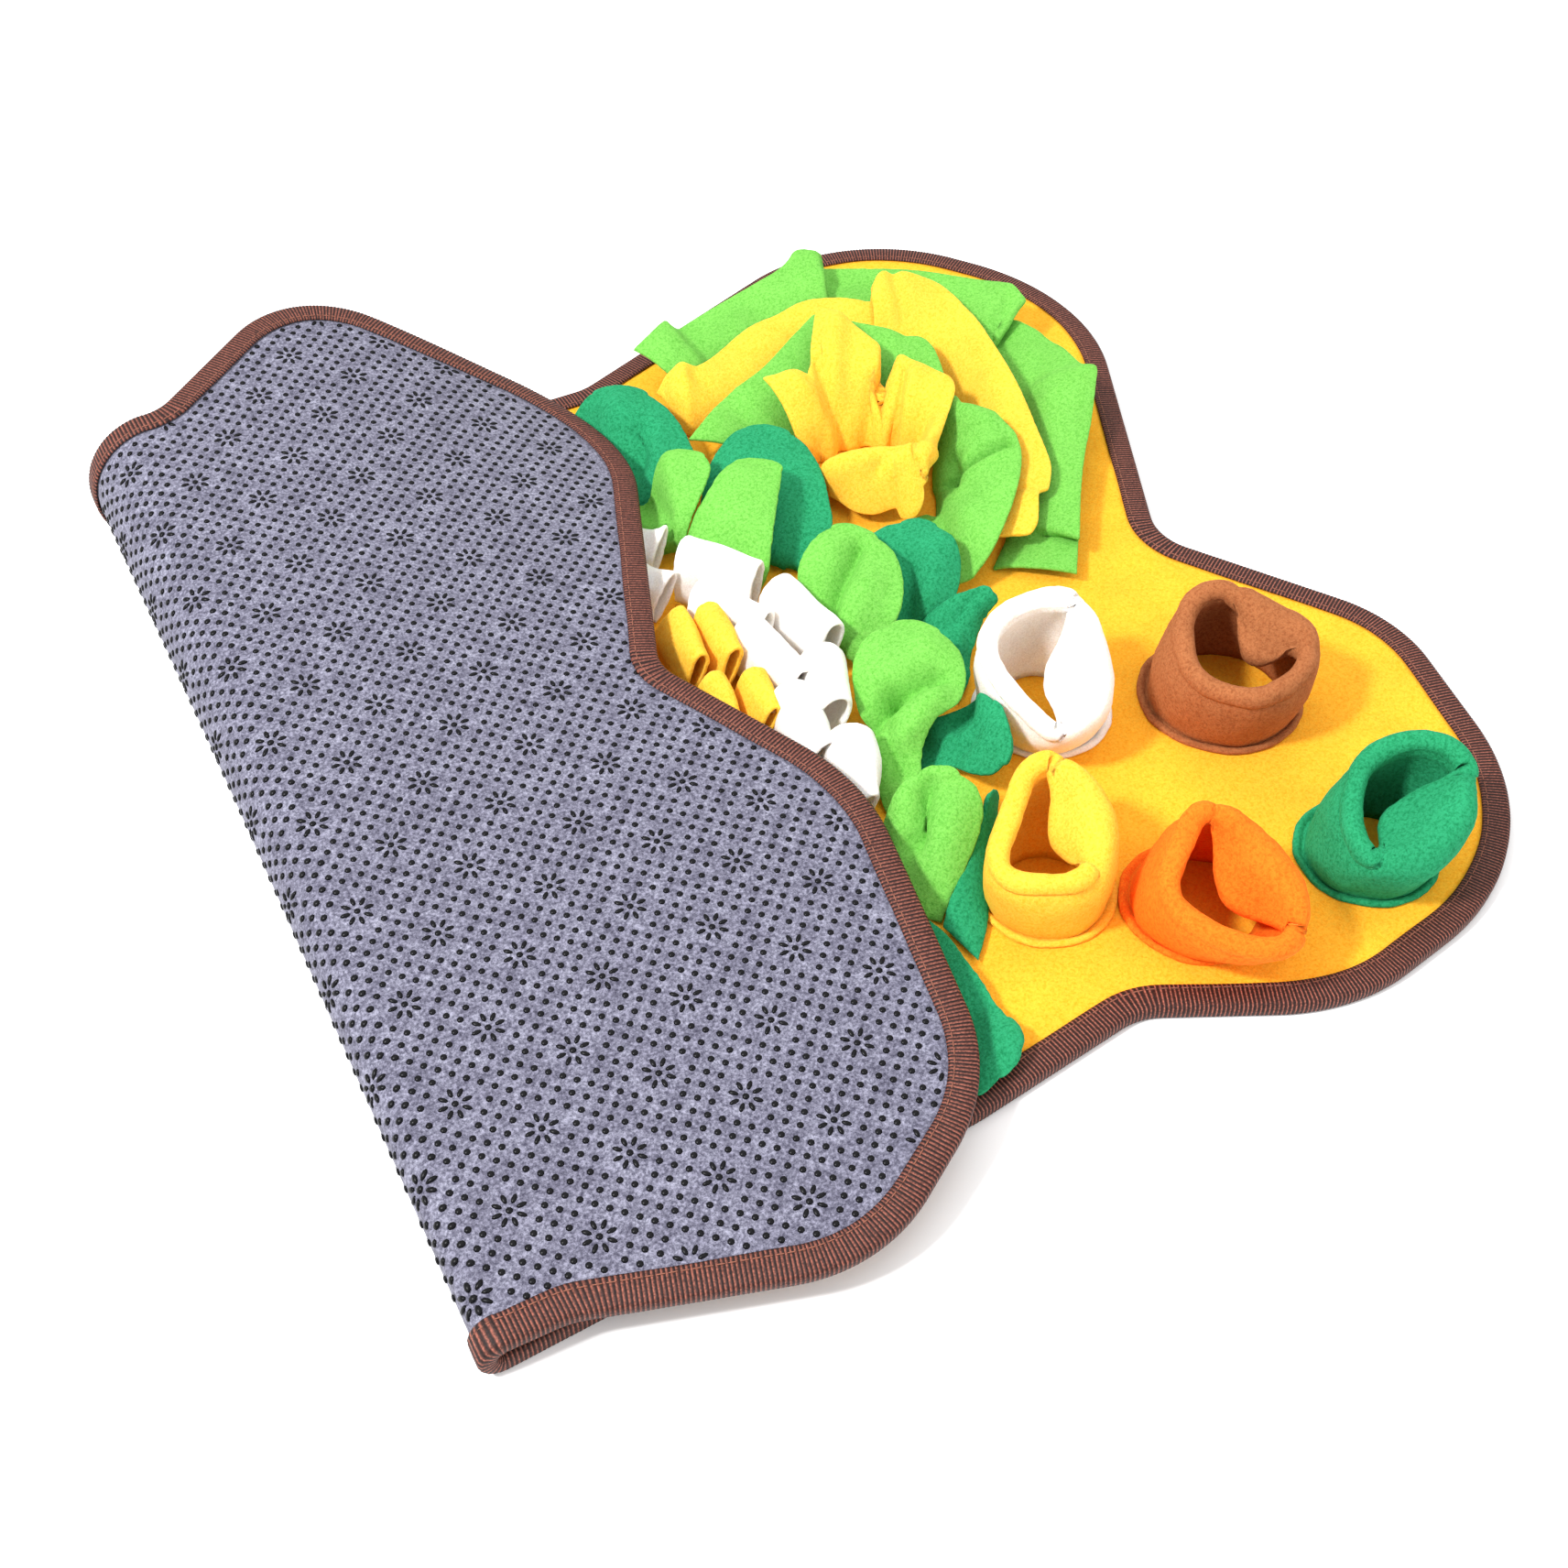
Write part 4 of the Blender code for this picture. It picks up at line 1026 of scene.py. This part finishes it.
def cup_wall(c):
    """The middle surface of a cup's wall, in rings up from its foot, then the foot's ring and its way out."""
    rows = rim_rows(c)
    shares = np.arange(CUP_AROUND) / CUP_AROUND
    line = hermite(rows, shares, closed=True)
    run = np.concatenate([[0], np.cumsum(np.linalg.norm(np.roll(line, -1, 0) - line, axis=1))])
    even = np.interp(shares * run[-1], run, np.arange(CUP_AROUND + 1)) / CUP_AROUND
    low = SEWN_FACE - CUP_TOP
    line = hermite(rows, even, closed=True) + (c.x, c.y, low, c.x, c.y, low)
    for _ in range(CUP_SOFT):
        line = smoothed(line, 0)
    turn = math.atan2(rows[0][1], rows[0][0]) + 2 * math.pi * shares
    out = np.stack([np.cos(turn), np.sin(turn), 0 * turn], 1)
    foot = out * c.foot + (c.x, c.y, SEWN_FACE)
    rings = []
    for share in CUP_SHARES:
        belly = out * CUP_BELLY * math.sin(math.pi * min(CUP_BELLY_LOW * share, 1))
        rings.append(bent(foot, line[:, 3:], line[:, :3], share) + belly)
    middle = np.array(rings)
    for _ in range(CUP_EASE):
        middle[1:] = smoothed(middle[1:], 1)
    return middle, foot, out


def cup(c):
    """A tube of doubled fleece with a puffy rim, sewn down along its foot's hem and pushed out of round."""
    middle, foot, out = cup_wall(c)
    up = np.gradient(middle, axis=0)
    up /= np.linalg.norm(up, axis=2, keepdims=True)
    normal = np.cross(np.roll(middle, -1, 1) - np.roll(middle, 1, 1), up)
    normal /= np.linalg.norm(normal, axis=2, keepdims=True)
    half = np.array([CUP_HALF + CUP_PUFF * share**CUP_PUFF_POWER for share in CUP_SHARES])[:, None, None]
    rings = [foot + out * far + (0, 0, height) for far, height in FLANGE]
    rings += list((middle + normal * half)[CUP_CLEAR:])
    for angle in np.linspace(*RIM_TURN, RIM_STEPS):
        outward = normal[-1] * math.cos(angle) + up[-1] * math.sin(angle)
        rings.append(middle[-1] + outward * CUP_TOP)
    rings += list((middle - normal * half)[::-1])
    material, slot = SLOTS[c.colour]
    vertices = fuzzed(np.array(rings).reshape(-1, 3), CUP_LUMP, CUP_LUMP_SIZE)
    vertices = lying_above(fuzzed(vertices, CUP_NAP, CUP_NAP_SIZE))
    return piece(f"{c.name}_sleeve", vertices, tube_faces(len(rings), CUP_AROUND), material, (c.name,))


# The daisy's petals: sections from the foot to the head, each with the place of its two edges and how far its
# middle bulges up between them.
Petal = namedtuple("Petal", "name colour sections")
Across = namedtuple("Across", "left_x left_y left_z right_x right_y right_z bulge")


def seen_across(left_px, left_py, left_z, right_px, right_py, right_z, bulge):
    """A section from the pixels and heights of its two edges."""
    return Across(*seen(left_px, left_py, left_z), *seen(right_px, right_py, right_z), bulge)


PETALS = (
    Petal("petal_light_a", "light_green", (
        Across(84, 96, 8, 100, 68, 8, 0), Across(85, 98, 17, 97, 66, 18, 1),
        Across(83, 97, 25, 101, 69, 25, 2), seen_across(678, 525, 29, 768, 535, 31, 1),
        seen_across(700, 513, 31, 776, 512, 33, 1), Across(*seen(722, 500, 32), 121, 94, 33, 1),
    )),
    Petal("petal_light_b", "light_green", (
        Across(97, 56, 8, 113, 33, 8, 0), Across(96, 63, 17, 117, 32, 18, 2),
        seen_across(757, 568, 24, 843, 590, 26, 3), seen_across(771, 542, 29, 848, 555, 31, 3),
        seen_across(786, 520, 32, 852, 528, 34, 3), Across(129, 84, 33, 144, 69, 35, 1),
    )),
    Petal("petal_light_c", "light_green", (
        Across(122, -8, 8, 127, -28, 8, 0), Across(121, 2, 15, 129, -29, 15, 2),
        Across(121, 10, 22, *seen(970, 693, 21), 3), seen_across(872, 625, 27, 984, 664, 27, 2),
        seen_across(880, 602, 30, 986, 635, 30, 2), seen_across(893, 586, 32, 977, 606, 32, 2),
        Across(144, 28, 33, 157, 13, 33, 2),
    )),
    Petal("petal_light_d", "light_green", (
        Across(97, -95, 6, 102, -106, 6, 0), Across(100, -82, 10, *seen(1006, 856, 12), 2),
        Across(105, -67, 15, *seen(1007, 815, 18), 3), Across(109, -53, 20, *seen(1022, 784, 24), 3),
        Across(114, -41, 25, *seen(1046, 768, 28), 3), seen_across(938, 708, 28, 1055, 740, 31, 3),
        seen_across(952, 692, 31, 1047, 712, 33, 3), Across(135, -33, 32, 148, -48, 34, 2),
    )),
    Petal("petal_light_e", "light_green", (
        seen_across(975, 990, 6, 1028, 1008, 6, 0), seen_across(965, 955, 12, 1042, 972, 13, 2),
        seen_across(960, 925, 18, 1057, 940, 19, 3), seen_across(964, 895, 24, 1070, 905, 25, 3),
        seen_across(974, 872, 28, 1073, 880, 29, 3), seen_across(988, 855, 31, 1064, 858, 32, 2),
        Across(103, -106, 33, 115, -114, 34, 2),
    )),
    Petal("petal_light_f", "light_green", (
        Across(37, -127, 7, 59, -117, 7, 0), Across(38, -137, 14, 66, -125, 14, 2),
        Across(40, -148, 18, 72, -134, 18, 3), Across(53, -153, 20, 67, -147, 20, 2),
    )),
    Petal("petal_light_g", "light_green", (
        Across(47, 96, 7, 69, 88, 7, 0), Across(48, 109, 15, 76, 101, 15, 2),
        Across(50, 123, 21, 82, 113, 21, 3), Across(62, 132, 24, 78, 128, 24, 2),
    )),
    Petal("petal_dark_a", "dark_green", (
        Across(88, 112, 7, 112, 94, 7, 0), Across(80, 124, 12, *seen(762, 535, 12), 2),
        seen_across(625, 495, 17, 758, 497, 17, 3), seen_across(618, 462, 20, 746, 470, 20, 3),
        seen_across(626, 442, 22, 728, 447, 22, 2), Across(104, 170, 23, 125, 157, 23, 2),
    )),
    Petal("petal_dark_b", "dark_green", (
        Across(118, 60, 7, 134, 38, 7, 0), Across(112, 68, 12, *seen(890, 615, 11), 2),
        seen_across(765, 560, 16, 908, 578, 16, 3), seen_across(770, 527, 20, 905, 546, 19, 3),
        seen_across(780, 500, 22, 896, 514, 22, 3), seen_across(797, 480, 24, 880, 488, 24, 2),
        Across(150, 112, 24, 165, 100, 25, 2),
    )),
    Petal("petal_dark_c", "dark_green", (
        seen_across(915, 705, 7, 994, 700, 7, 0), seen_across(925, 662, 13, 1004, 682, 10, 2),
        seen_across(934, 632, 17, 1020, 668, 14, 3), seen_across(940, 605, 21, 1042, 654, 18, 4),
        seen_across(948, 588, 24, 1048, 620, 22, 4), seen_across(965, 577, 26, 1040, 594, 25, 3),
        Across(174, 23, 27, 186, 15, 26, 2),
    )),
    Petal("petal_dark_d", "dark_green", (
        seen_across(1000, 690, 7, 1046, 768, 6, 1), seen_across(1012, 674, 14, 1058, 742, 8, 3),
        seen_across(1030, 659, 20, 1064, 712, 11, 5), seen_across(1046, 648, 25, 1070, 685, 15, 5),
        seen_across(1060, 642, 27, 1079, 667, 20, 4), seen_across(1072, 640, 28, 1087, 658, 24, 2),
    )),
    Petal("petal_dark_e", "dark_green", (
        seen_across(1004, 790, 6, 1002, 846, 6, 0), seen_across(1020, 786, 14, 1020, 842, 8, -1),
        seen_across(1040, 776, 20, 1040, 838, 12, -2), seen_across(1056, 760, 27, 1062, 846, 17, -2),
        seen_across(1070, 755, 30, 1083, 846, 20, 0), seen_across(1084, 764, 31, 1095, 836, 24, 0),
    )),
    Petal("petal_dark_f", "dark_green", (
        seen_across(1030, 1012, 9, 1068, 1048, 7, 0), seen_across(1036, 985, 13, 1077, 1012, 7, 1),
        seen_across(1049, 955, 17, 1079, 972, 8, 2), seen_across(1062, 925, 21, 1081, 932, 9, 2),
        seen_across(1071, 895, 24, 1085, 897, 11, 2), seen_across(1077, 872, 27, 1088, 874, 16, 1),
    )),
    Petal("petal_dark_g", "dark_green", (
        seen_across(1008, 1000, 6, 985, 1100, 6, 0), seen_across(1035, 1022, 9, 1008, 1150, 7, 2),
        seen_across(1060, 1055, 12, 1038, 1185, 8, 3), seen_across(1085, 1087, 13, 1070, 1194, 9, 3),
        Across(81, -199, 13, 67, -216, 10, 2),
    )),
)
PETAL_STEP = 1.3
HEAD_ROUNDING = 0.22
HEAD_ROWS = 9
HEAD_TURN = math.pi / 2 * 0.96
AHEAD_ROWS = 4
RAGGED = 0.35
RAGGED_SIZE = 2.5
FRONT = np.array((-0.33, -0.6, 0.73))


def petal(p):
    """A tongue of fleece, sewn at its foot, through its sections to a round head."""
    rows = np.array([tuple(section) for section in p.sections], float)
    middle = (rows[:, :3] + rows[:, 3:6]) / 2
    run = run_along(middle)
    at = np.interp(lines(0, run[-1], PETAL_STEP), run, np.linspace(0, 1, len(rows)))
    stations = list(hermite(rows, at))
    last, before = stations[-1], stations[-AHEAD_ROWS]
    ahead = (last[:3] + last[3:6] - before[:3] - before[3:6]) / 2
    ahead /= np.linalg.norm(ahead)
    centre, half = (last[:3] + last[3:6]) / 2, (last[3:6] - last[:3]) / 2
    deep = HEAD_ROUNDING * 2 * np.linalg.norm(half)
    for k in range(1, HEAD_ROWS + 1):
        turn = HEAD_TURN * k / HEAD_ROWS
        here, reach = centre + ahead * deep * math.sin(turn), half * math.cos(turn)
        stations.append(np.concatenate([here - reach, here + reach, [last[6] * math.cos(turn)]]))
    stations = np.array(stations)
    widest = np.linalg.norm(stations[:, 3:6] - stations[:, :3], axis=1).max()
    columns = soft_shares(widest, CLOTH, GRAIN_STEP)
    onward = np.gradient((stations[:, :3] + stations[:, 3:6]) / 2, axis=0)
    grid = []
    for station, forward in zip(stations, onward):
        left, right, bulge = station[:3], station[3:6], station[6]
        normal = np.cross(right - left, forward)
        normal *= math.copysign(1, normal @ FRONT) / (np.linalg.norm(normal) + TINY)
        over = (right - left) / (np.linalg.norm(right - left) + TINY)
        left = left + over * RAGGED * noise.noise(Vector(left) / RAGGED_SIZE)
        right = right + over * RAGGED * noise.noise(Vector(right) / RAGGED_SIZE)
        row = []
        for share in columns:
            t = 2 * share - 1
            row.append(tuple(pressed(left + (right - left) * share + normal * bulge * (1 - t * t))))
        grid.append(row)
    return cloth(f"{p.name}_tongue", p.name, grid, p.colour)


# The daisy's loops: the line along the top of each, how high it stands, half its depth there and how far back
# its foot is sewn, towards the daisy's middle.
Loop = namedtuple("Loop", "name colour x y to_x to_y top half back")


def seen_loop(name, colour, px, py, to_px, to_py, top, half, back):
    """A loop from the pixels that the ends of its line are seen at, as high as the middle of its bend."""
    return Loop(name, colour, *plan(px, py, top - half), *plan(to_px, to_py, top - half), top, half, back)


LOOPS = (
    seen_loop("loop_white_outer_4", "white", 745, 605, 828, 632, 33, 8, 7),
    seen_loop("loop_white_outer_3", "white", 848, 644, 909, 699, 33, 8, 7),
    seen_loop("loop_white_outer_2", "white", 896, 720, 910, 780, 32, 9, 7),
    seen_loop("loop_white_edge_1", "white", 928, 808, 940, 874, 30, 9.5, 7),
    seen_loop("loop_white_outer_5", "white", 668, 568, 722, 586, 31, 8.5, 9),
    seen_loop("loop_white_inner_6", "white", 688, 610, 728, 636, 30, 7.5, 8),
    seen_loop("loop_white_inner_5", "white", 762, 650, 838, 684, 31, 7.5, 6),
    seen_loop("loop_white_inner_4", "white", 816, 688, 874, 750, 31, 8, 6),
    seen_loop("loop_white_inner_3", "white", 862, 760, 896, 822, 30, 8.5, 6),
    seen_loop("loop_yellow_outer_5", "yellow", 660, 625, 700, 655, 29, 6, 8),
    seen_loop("loop_yellow_inner_4", "yellow", 665, 660, 695, 698, 28, 6, 7),
    seen_loop("loop_yellow_inner_3", "yellow", 733, 668, 765, 726, 30, 5.8, 7),
    seen_loop("loop_yellow_outer_4", "yellow", 772, 668, 803, 718, 31, 5.4, 7),
    seen_loop("loop_yellow_outer_3", "yellow", 822, 737, 842, 782, 28, 5.2, 7),
    seen_loop("loop_yellow_inner_2", "yellow", 778, 744, 802, 794, 28, 6, 6),
    Loop("loop_white_outer_1", "white", 31, -109, 61, -95, 32, 5.5, 10),
    Loop("loop_white_inner_2", "white", 45, -87, 69, -69, 28, 5.5, 9),
    Loop("loop_white_inner_1", "white", 8, -98, 38, -90, 28, 5.5, 9),
    Loop("loop_yellow_outer_2", "yellow", 36, -76, 62, -58, 30, 5.5, 8),
    Loop("loop_yellow_outer_1", "yellow", -2, -84, 28, -80, 30, 5.5, 8),
    Loop("loop_yellow_inner_1", "yellow", 29, -65, 53, -47, 28, 5.5, 7),
)
LOOP_STEPS = 14
LOOP_SAG = 0.9
LOOP_SAG_SIZE = 13.0
LOOP_GAP = 0.1
LOOP_OPENING = 0.8
PINCH = 0.35
PINCH_REACH = 9.0
SIDE_SEEDS = (0, 50)


def loop(p):
    """A strip of fleece bent back on itself, both ends sewn down at its foot."""
    start, end = np.array((p.x, p.y, 0.0)), np.array((p.to_x, p.to_y, 0.0))
    width = np.linalg.norm(end - start)
    side = (end - start) / width
    out = np.array((-side[1], side[0], 0.0))
    out *= math.copysign(1, out @ (start + end))
    apart, bend = CLOTH / 2 + LOOP_GAP, p.half - CLOTH / 2
    centre = np.array((0.0, p.top - p.half))
    foot = np.array((-p.back, SEWN_FACE + CLOTH / 2))
    length = np.linalg.norm(centre - foot)
    along = (centre - foot) / length
    over = np.array((-along[1], along[0]))
    line = []
    for k in range(LOOP_STEPS):
        share = k / LOOP_STEPS
        far = apart + (bend - apart) * math.sin(share * math.pi / 2) ** LOOP_OPENING
        line.append((foot + along * length * share, far))
    back = [(here, -far) for here, far in reversed(line)]
    for k in range(LOOP_STEPS + 1):
        turn = math.pi / 2 - math.pi * k / LOOP_STEPS
        line.append((centre + along * bend * math.cos(turn), bend * math.sin(turn)))
    grid = []
    for i, (at, far) in enumerate(line + back):
        row = []
        ragged = [RAGGED * noise.noise(Vector((i / 2, p.x + seed, p.y))) for seed in SIDE_SEEDS]
        for share in soft_shares(width, CLOTH, GRAIN_STEP):
            reach = width * share + ragged[0] * (1 - share) + ragged[1] * share
            open_share = 1 - PINCH * math.exp(-((width * (1 - share) / PINCH_REACH) ** 2))
            bent_to = at + over * far * open_share
            here = start + side * reach + out * bent_to[0] + np.array((0, 0, bent_to[1]))
            here += np.array(noise.noise_vector(Vector(here) / LOOP_SAG_SIZE)) * LOOP_SAG
            row.append(tuple(pressed(here)))
        grid.append(row)
    return cloth(f"{p.name}_strip", p.name, grid, p.colour)


# The rosette: strips sewn down along one edge and leaning outwards. Each row is a point of the strip's free
# edge, its height above the fleece, the point of the seam that it rises from and how far it arches between.
Tab = namedtuple("Tab", "x y height seam_x seam_y arch", defaults=(0,))
LEAST_ROLL = 6.0


def arched_tab(px, py, z, ridge_px, ridge_py, ridge_z):
    """A tab bent over into a roll, from the pixels of its free edge and of its ridge, halfway to the seam."""
    edge, ridge = Vector(plan(px, py, z)), Vector(plan(ridge_px, ridge_py, ridge_z))
    height = max(z - SEWN_FACE - CLOTH / 2, LEAST_ROLL)
    arch = ridge_z - SEWN_FACE - CLOTH / 2 - height * math.sin(math.pi / 4)
    return Tab(*edge, height, *(2 * ridge - edge), arch)


ROSETTE = (
    ("rosette_green_outer", "light_green", (
        Tab(*plan(692, 384, 24), 19, 148, 157), Tab(*plan(727, 350, 27), 22, 160, 164),
        Tab(162, 200, 15, 166, 166), Tab(*plan(800, 326, 24), 19, 194, 168),
        Tab(*plan(850, 297, 28), 23, 211, 168), Tab(*plan(868, 277, 32), 27, 217, 167),
        Tab(241, 209, 26, 223, 165), Tab(234, 206, 16, 227, 162), Tab(244, 212, 15, 231, 160),
        Tab(*plan(940, 296, 22), 17, 240, 156), Tab(281, 185, 18, 252, 147), Tab(300, 162, 20, 264, 134),
        Tab(310, 147, 23, 269, 124), Tab(310, 135, 21, 271, 118), Tab(303, 141, 12, 272, 112),
        Tab(308, 118, 14, 273, 106), Tab(308, 104, 16, 273, 98), Tab(304, 80, 20, 270, 82),
        Tab(*plan(1198, 404, 29), 23, 269, 76), Tab(288, 50, 18, 261, 59),
        Tab(*plan(1184, 500, 20), 15, 251, 44), Tab(257, 13, 14, 240, 34), Tab(240, -11, 12, 226, 19),
        Tab(245, -4, 6, 221, 13), Tab(231, -23, 6, 207, 1),
    )),
    ("rosette_yellow_outer", "yellow", (
        Tab(*plan(716, 432, 16), 11, *plan(740, 462, 6.8)), Tab(140, 169, 18, *plan(746, 470, 6.8)),
        Tab(147, 168, 22, *plan(754, 474, 6.8)), Tab(153, 166, 18, *plan(766, 470, 6.8)),
        Tab(164, 171, 16, 177, 141), Tab(*plan(815, 362, 24), 19, 190, 146),
        Tab(*plan(850, 343, 27), 22, 203, 147), Tab(*plan(885, 330, 29), 24, 214, 147),
        Tab(238, 172, 23, 225, 146), Tab(256, 161, 17, 230, 144), Tab(248, 171, 25, 234, 142),
        Tab(*plan(962, 301, 33), 28, 237, 140), Tab(267, 174, 28, 241, 136), Tab(277, 160, 26, 246, 129),
        Tab(279, 136, 25, 250, 117), Tab(*plan(1085, 378, 29), 24, 251, 101),
        Tab(*plan(1110, 420, 28), 23, 247, 81), Tab(*plan(1132, 470, 27), 22, 238, 61),
        Tab(*plan(1147, 509, 25), 20, 231, 50), Tab(*plan(1145, 533, 25), 20, 226, 43),
        Tab(*plan(1134, 538, 24), 19, 223, 40), Tab(*plan(1133, 572, 21), 16, 217, 36),
        Tab(*plan(1124, 586, 19), 14, 212, 33), Tab(*plan(1086, 588, 16), 11, 206, 30),
    )),
    ("rosette_green_inner", "light_green", (
        Tab(*plan(752, 482, 18), 13, 158, 108), Tab(*plan(790, 437, 22), 17, 172, 115),
        Tab(*plan(832, 405, 26), 21, 184, 118), Tab(*plan(865, 370, 30), 25, 195, 120),
        Tab(*plan(889, 345, 32), 27, 204, 120), Tab(226, 155, 25, 211, 118), Tab(238, 144, 24, 218, 114),
        Tab(248, 129, 25, 224, 108), Tab(249, 118, 24, 227, 102), Tab(*plan(1035, 420, 27), 21, 229, 91),
        Tab(237, 76, 21, 226, 80), Tab(244, 61, 25, 222, 72), Tab(245, 46, 26, 218, 66),
        Tab(238, 31, 24, 213, 58), Tab(222, 13, 21, 207, 48), Tab(*plan(1085, 600, 22), 17, 203, 42),
        Tab(*plan(1062, 633, 14), 8, *plan(1012, 560, 6.8)),
        Tab(*plan(1038, 642, 11), 5, *plan(1000, 566, 6.8)),
    )),
    ("rosette_yellow_inner", "yellow", (
        Tab(*plan(833, 415, 34), 29, 170, 97), Tab(*plan(868, 407, 36), 31, 176, 99),
        Tab(186, 122, 29, 180, 101), Tab(209, 155, 35, 186, 101), Tab(214, 154, 36, 190, 101),
        Tab(220, 141, 33, 197, 99), Tab(224, 125, 31, 203, 96), Tab(214, 107, 14, 207, 90),
        Tab(230, 117, 29, 210, 90), Tab(*plan(1010, 402, 35), 30, 213, 86),
        Tab(*plan(1036, 413, 35), 30, 215, 81), Tab(236, 81, 28, 215, 76),
        arched_tab(1009, 519, 30, 1005, 497, 33), arched_tab(1010, 532, 25, 1002, 496, 32),
        arched_tab(1008, 550, 19, 996, 496, 31), arched_tab(1000, 565, 14, 989, 495, 31),
        arched_tab(986, 568, 12, 983, 494, 31), arched_tab(981, 554, 14, 978, 493, 31),
        arched_tab(970, 557, 13, 968, 493, 31), arched_tab(957, 562, 12, 953, 494, 30),
        arched_tab(940, 561, 12, 936, 498, 29), arched_tab(926, 554, 12, 921, 503, 27),
        arched_tab(914, 541, 12, 908, 509, 24), arched_tab(903, 530, 13, 896, 514, 20),
    )),
)
STRIP_LEAN = 1.5
STRIP_SLACK = 1.3
STRIP_ROUNDING = 1
FULL_ARCH = 8
TAB_STEPS = 12
SHARP_TURN, SOFT_TURN = 0.7, 0.97


def strip_stations(tabs):
    """Places evenly spaced along the free edge, on a smooth curve that keeps the sharp turns of its tabs."""
    rows = np.array([tuple(tab) for tab in tabs], float)
    slopes = np.gradient(rows, axis=0)
    for i in range(1, len(rows) - 1):
        before, after = (rows[i] - rows[i - 1])[:3], (rows[i + 1] - rows[i])[:3]
        turn = before @ after / (np.linalg.norm(before) * np.linalg.norm(after))
        slopes[i] *= between(SHARP_TURN, SOFT_TURN, turn)
    fine = [rows[0]]
    for a, b, da, db in zip(rows, rows[1:], slopes, slopes[1:]):
        fine += [curve(a, da, b, db, t) for t in lines(0, 1, 1 / TAB_STEPS)[1:]]
    fine = np.array(fine)
    run = run_along(fine[:, :3])
    at = np.array(soft_shares(run[-1], CLOTH, GRAIN_STEP)) * run[-1]
    stations = np.stack([np.interp(at, run, column) for column in fine.T], 1)
    for _ in range(STRIP_ROUNDING):
        stations[1:-1] = 0.5 * stations[1:-1] + 0.25 * (stations[:-2] + stations[2:])
    return stations


def rosette_strip(name, colour, tabs):
    """A strip that stands on its seam and leans out to a free edge with square corners."""
    stations = strip_stations(tabs)
    deep = max(math.hypot(t.x - t.seam_x, t.y - t.seam_y) for t in tabs)
    grid = []
    for x, y, height, seam_x, seam_y, arch in stations:
        row = []
        for share in soft_shares(deep * STRIP_SLACK, CLOTH, GRAIN_STEP):
            out = share ** (STRIP_LEAN - (STRIP_LEAN - 1) * min(arch / FULL_ARCH, 1))
            rise = height * math.sin(share * math.pi / 2) + arch * math.sin(share * math.pi)
            leaning = seam_x + (x - seam_x) * out, seam_y + (y - seam_y) * out
            row.append((*leaning, SEWN_FACE + CLOTH / 2 + rise))
        grid.append(row)
    return cloth(f"{name}_strip", name, grid, colour)


def sewn_pieces():
    """The cups, loops, petals and rosette."""
    for c in CUPS:
        cup(c)
    for p in LOOPS:
        loop(p)
    for p in PETALS:
        petal(p)
    for name, colour, tabs in ROSETTE:
        rosette_strip(name, colour, tabs)


# The stage, in metres and watts.
FLOOR_HALF = 6.0
FLOOR_DROP = 0.0002
CLIP_START = 0.01
Lamp = namedtuple("Lamp", "name spot size power")
LAMPS = (
    Lamp("overhead", (0.2, 0.3, 1.6), 1.6, 9),
    Lamp("left", (-1.2, -0.1, 1.45), 0.22, 38),
    Lamp("front", (0.5, -1.5, 1.2), 1.2, 8),
)


def camera_and_light():
    """The camera, a pale floor, soft light from above and in front, and a small lamp at the left."""
    camera = bpy.data.objects.new("camera", bpy.data.cameras.new("camera"))
    camera.data.lens = CAMERA_LENS
    camera.data.sensor_width = SENSOR
    camera.location = place(CAMERA_PLACE)
    camera.rotation_euler = (math.radians(90 - CAMERA_DOWN), 0, math.radians(-CAMERA_TURN))
    camera.data.clip_start = CLIP_START
    bpy.context.scene.collection.objects.link(camera)
    bpy.context.scene.camera = camera
    floor_mesh = bpy.data.meshes.new("floor")
    corners = [(x * FLOOR_HALF, y * FLOOR_HALF, 0) for x, y in ((-1, -1), (1, -1), (1, 1), (-1, 1))]
    floor_mesh.from_pydata(corners, [], [(0, 1, 2, 3)])
    floor = bpy.data.objects.new("floor", floor_mesh)
    bpy.context.scene.collection.objects.link(floor)
    floor.location.z = -FLOOR_DROP
    paper, _, principled = shader("floor paper", 0.9, 0.0, 0.2)
    principled.inputs["Base Color"].default_value = (0.9, 0.9, 0.9, 1)
    floor_mesh.materials.append(paper)
    world = bpy.data.worlds.new("studio")
    world.use_nodes = True
    world.node_tree.nodes["Background"].inputs["Color"].default_value = (1, 1, 1, 1)
    world.node_tree.nodes["Background"].inputs["Strength"].default_value = 1.0
    bpy.context.scene.world = world
    for row in LAMPS:
        lamp(row)
    bpy.context.scene.view_settings.view_transform = "Standard"


def lamp(row):
    """An area light that faces the origin."""
    light = bpy.data.lights.new(row.name, "AREA")
    light.size = row.size
    light.energy = row.power
    obj = bpy.data.objects.new(row.name, light)
    obj.location = row.spot
    obj.rotation_euler = (-Vector(row.spot)).to_track_quat("-Z", "Y").to_euler()
    bpy.context.scene.collection.objects.link(obj)


def main():
    """The stage, then the pad, then what is sewn to it."""
    camera_and_light()
    pad()
    sewn_pieces()


main()
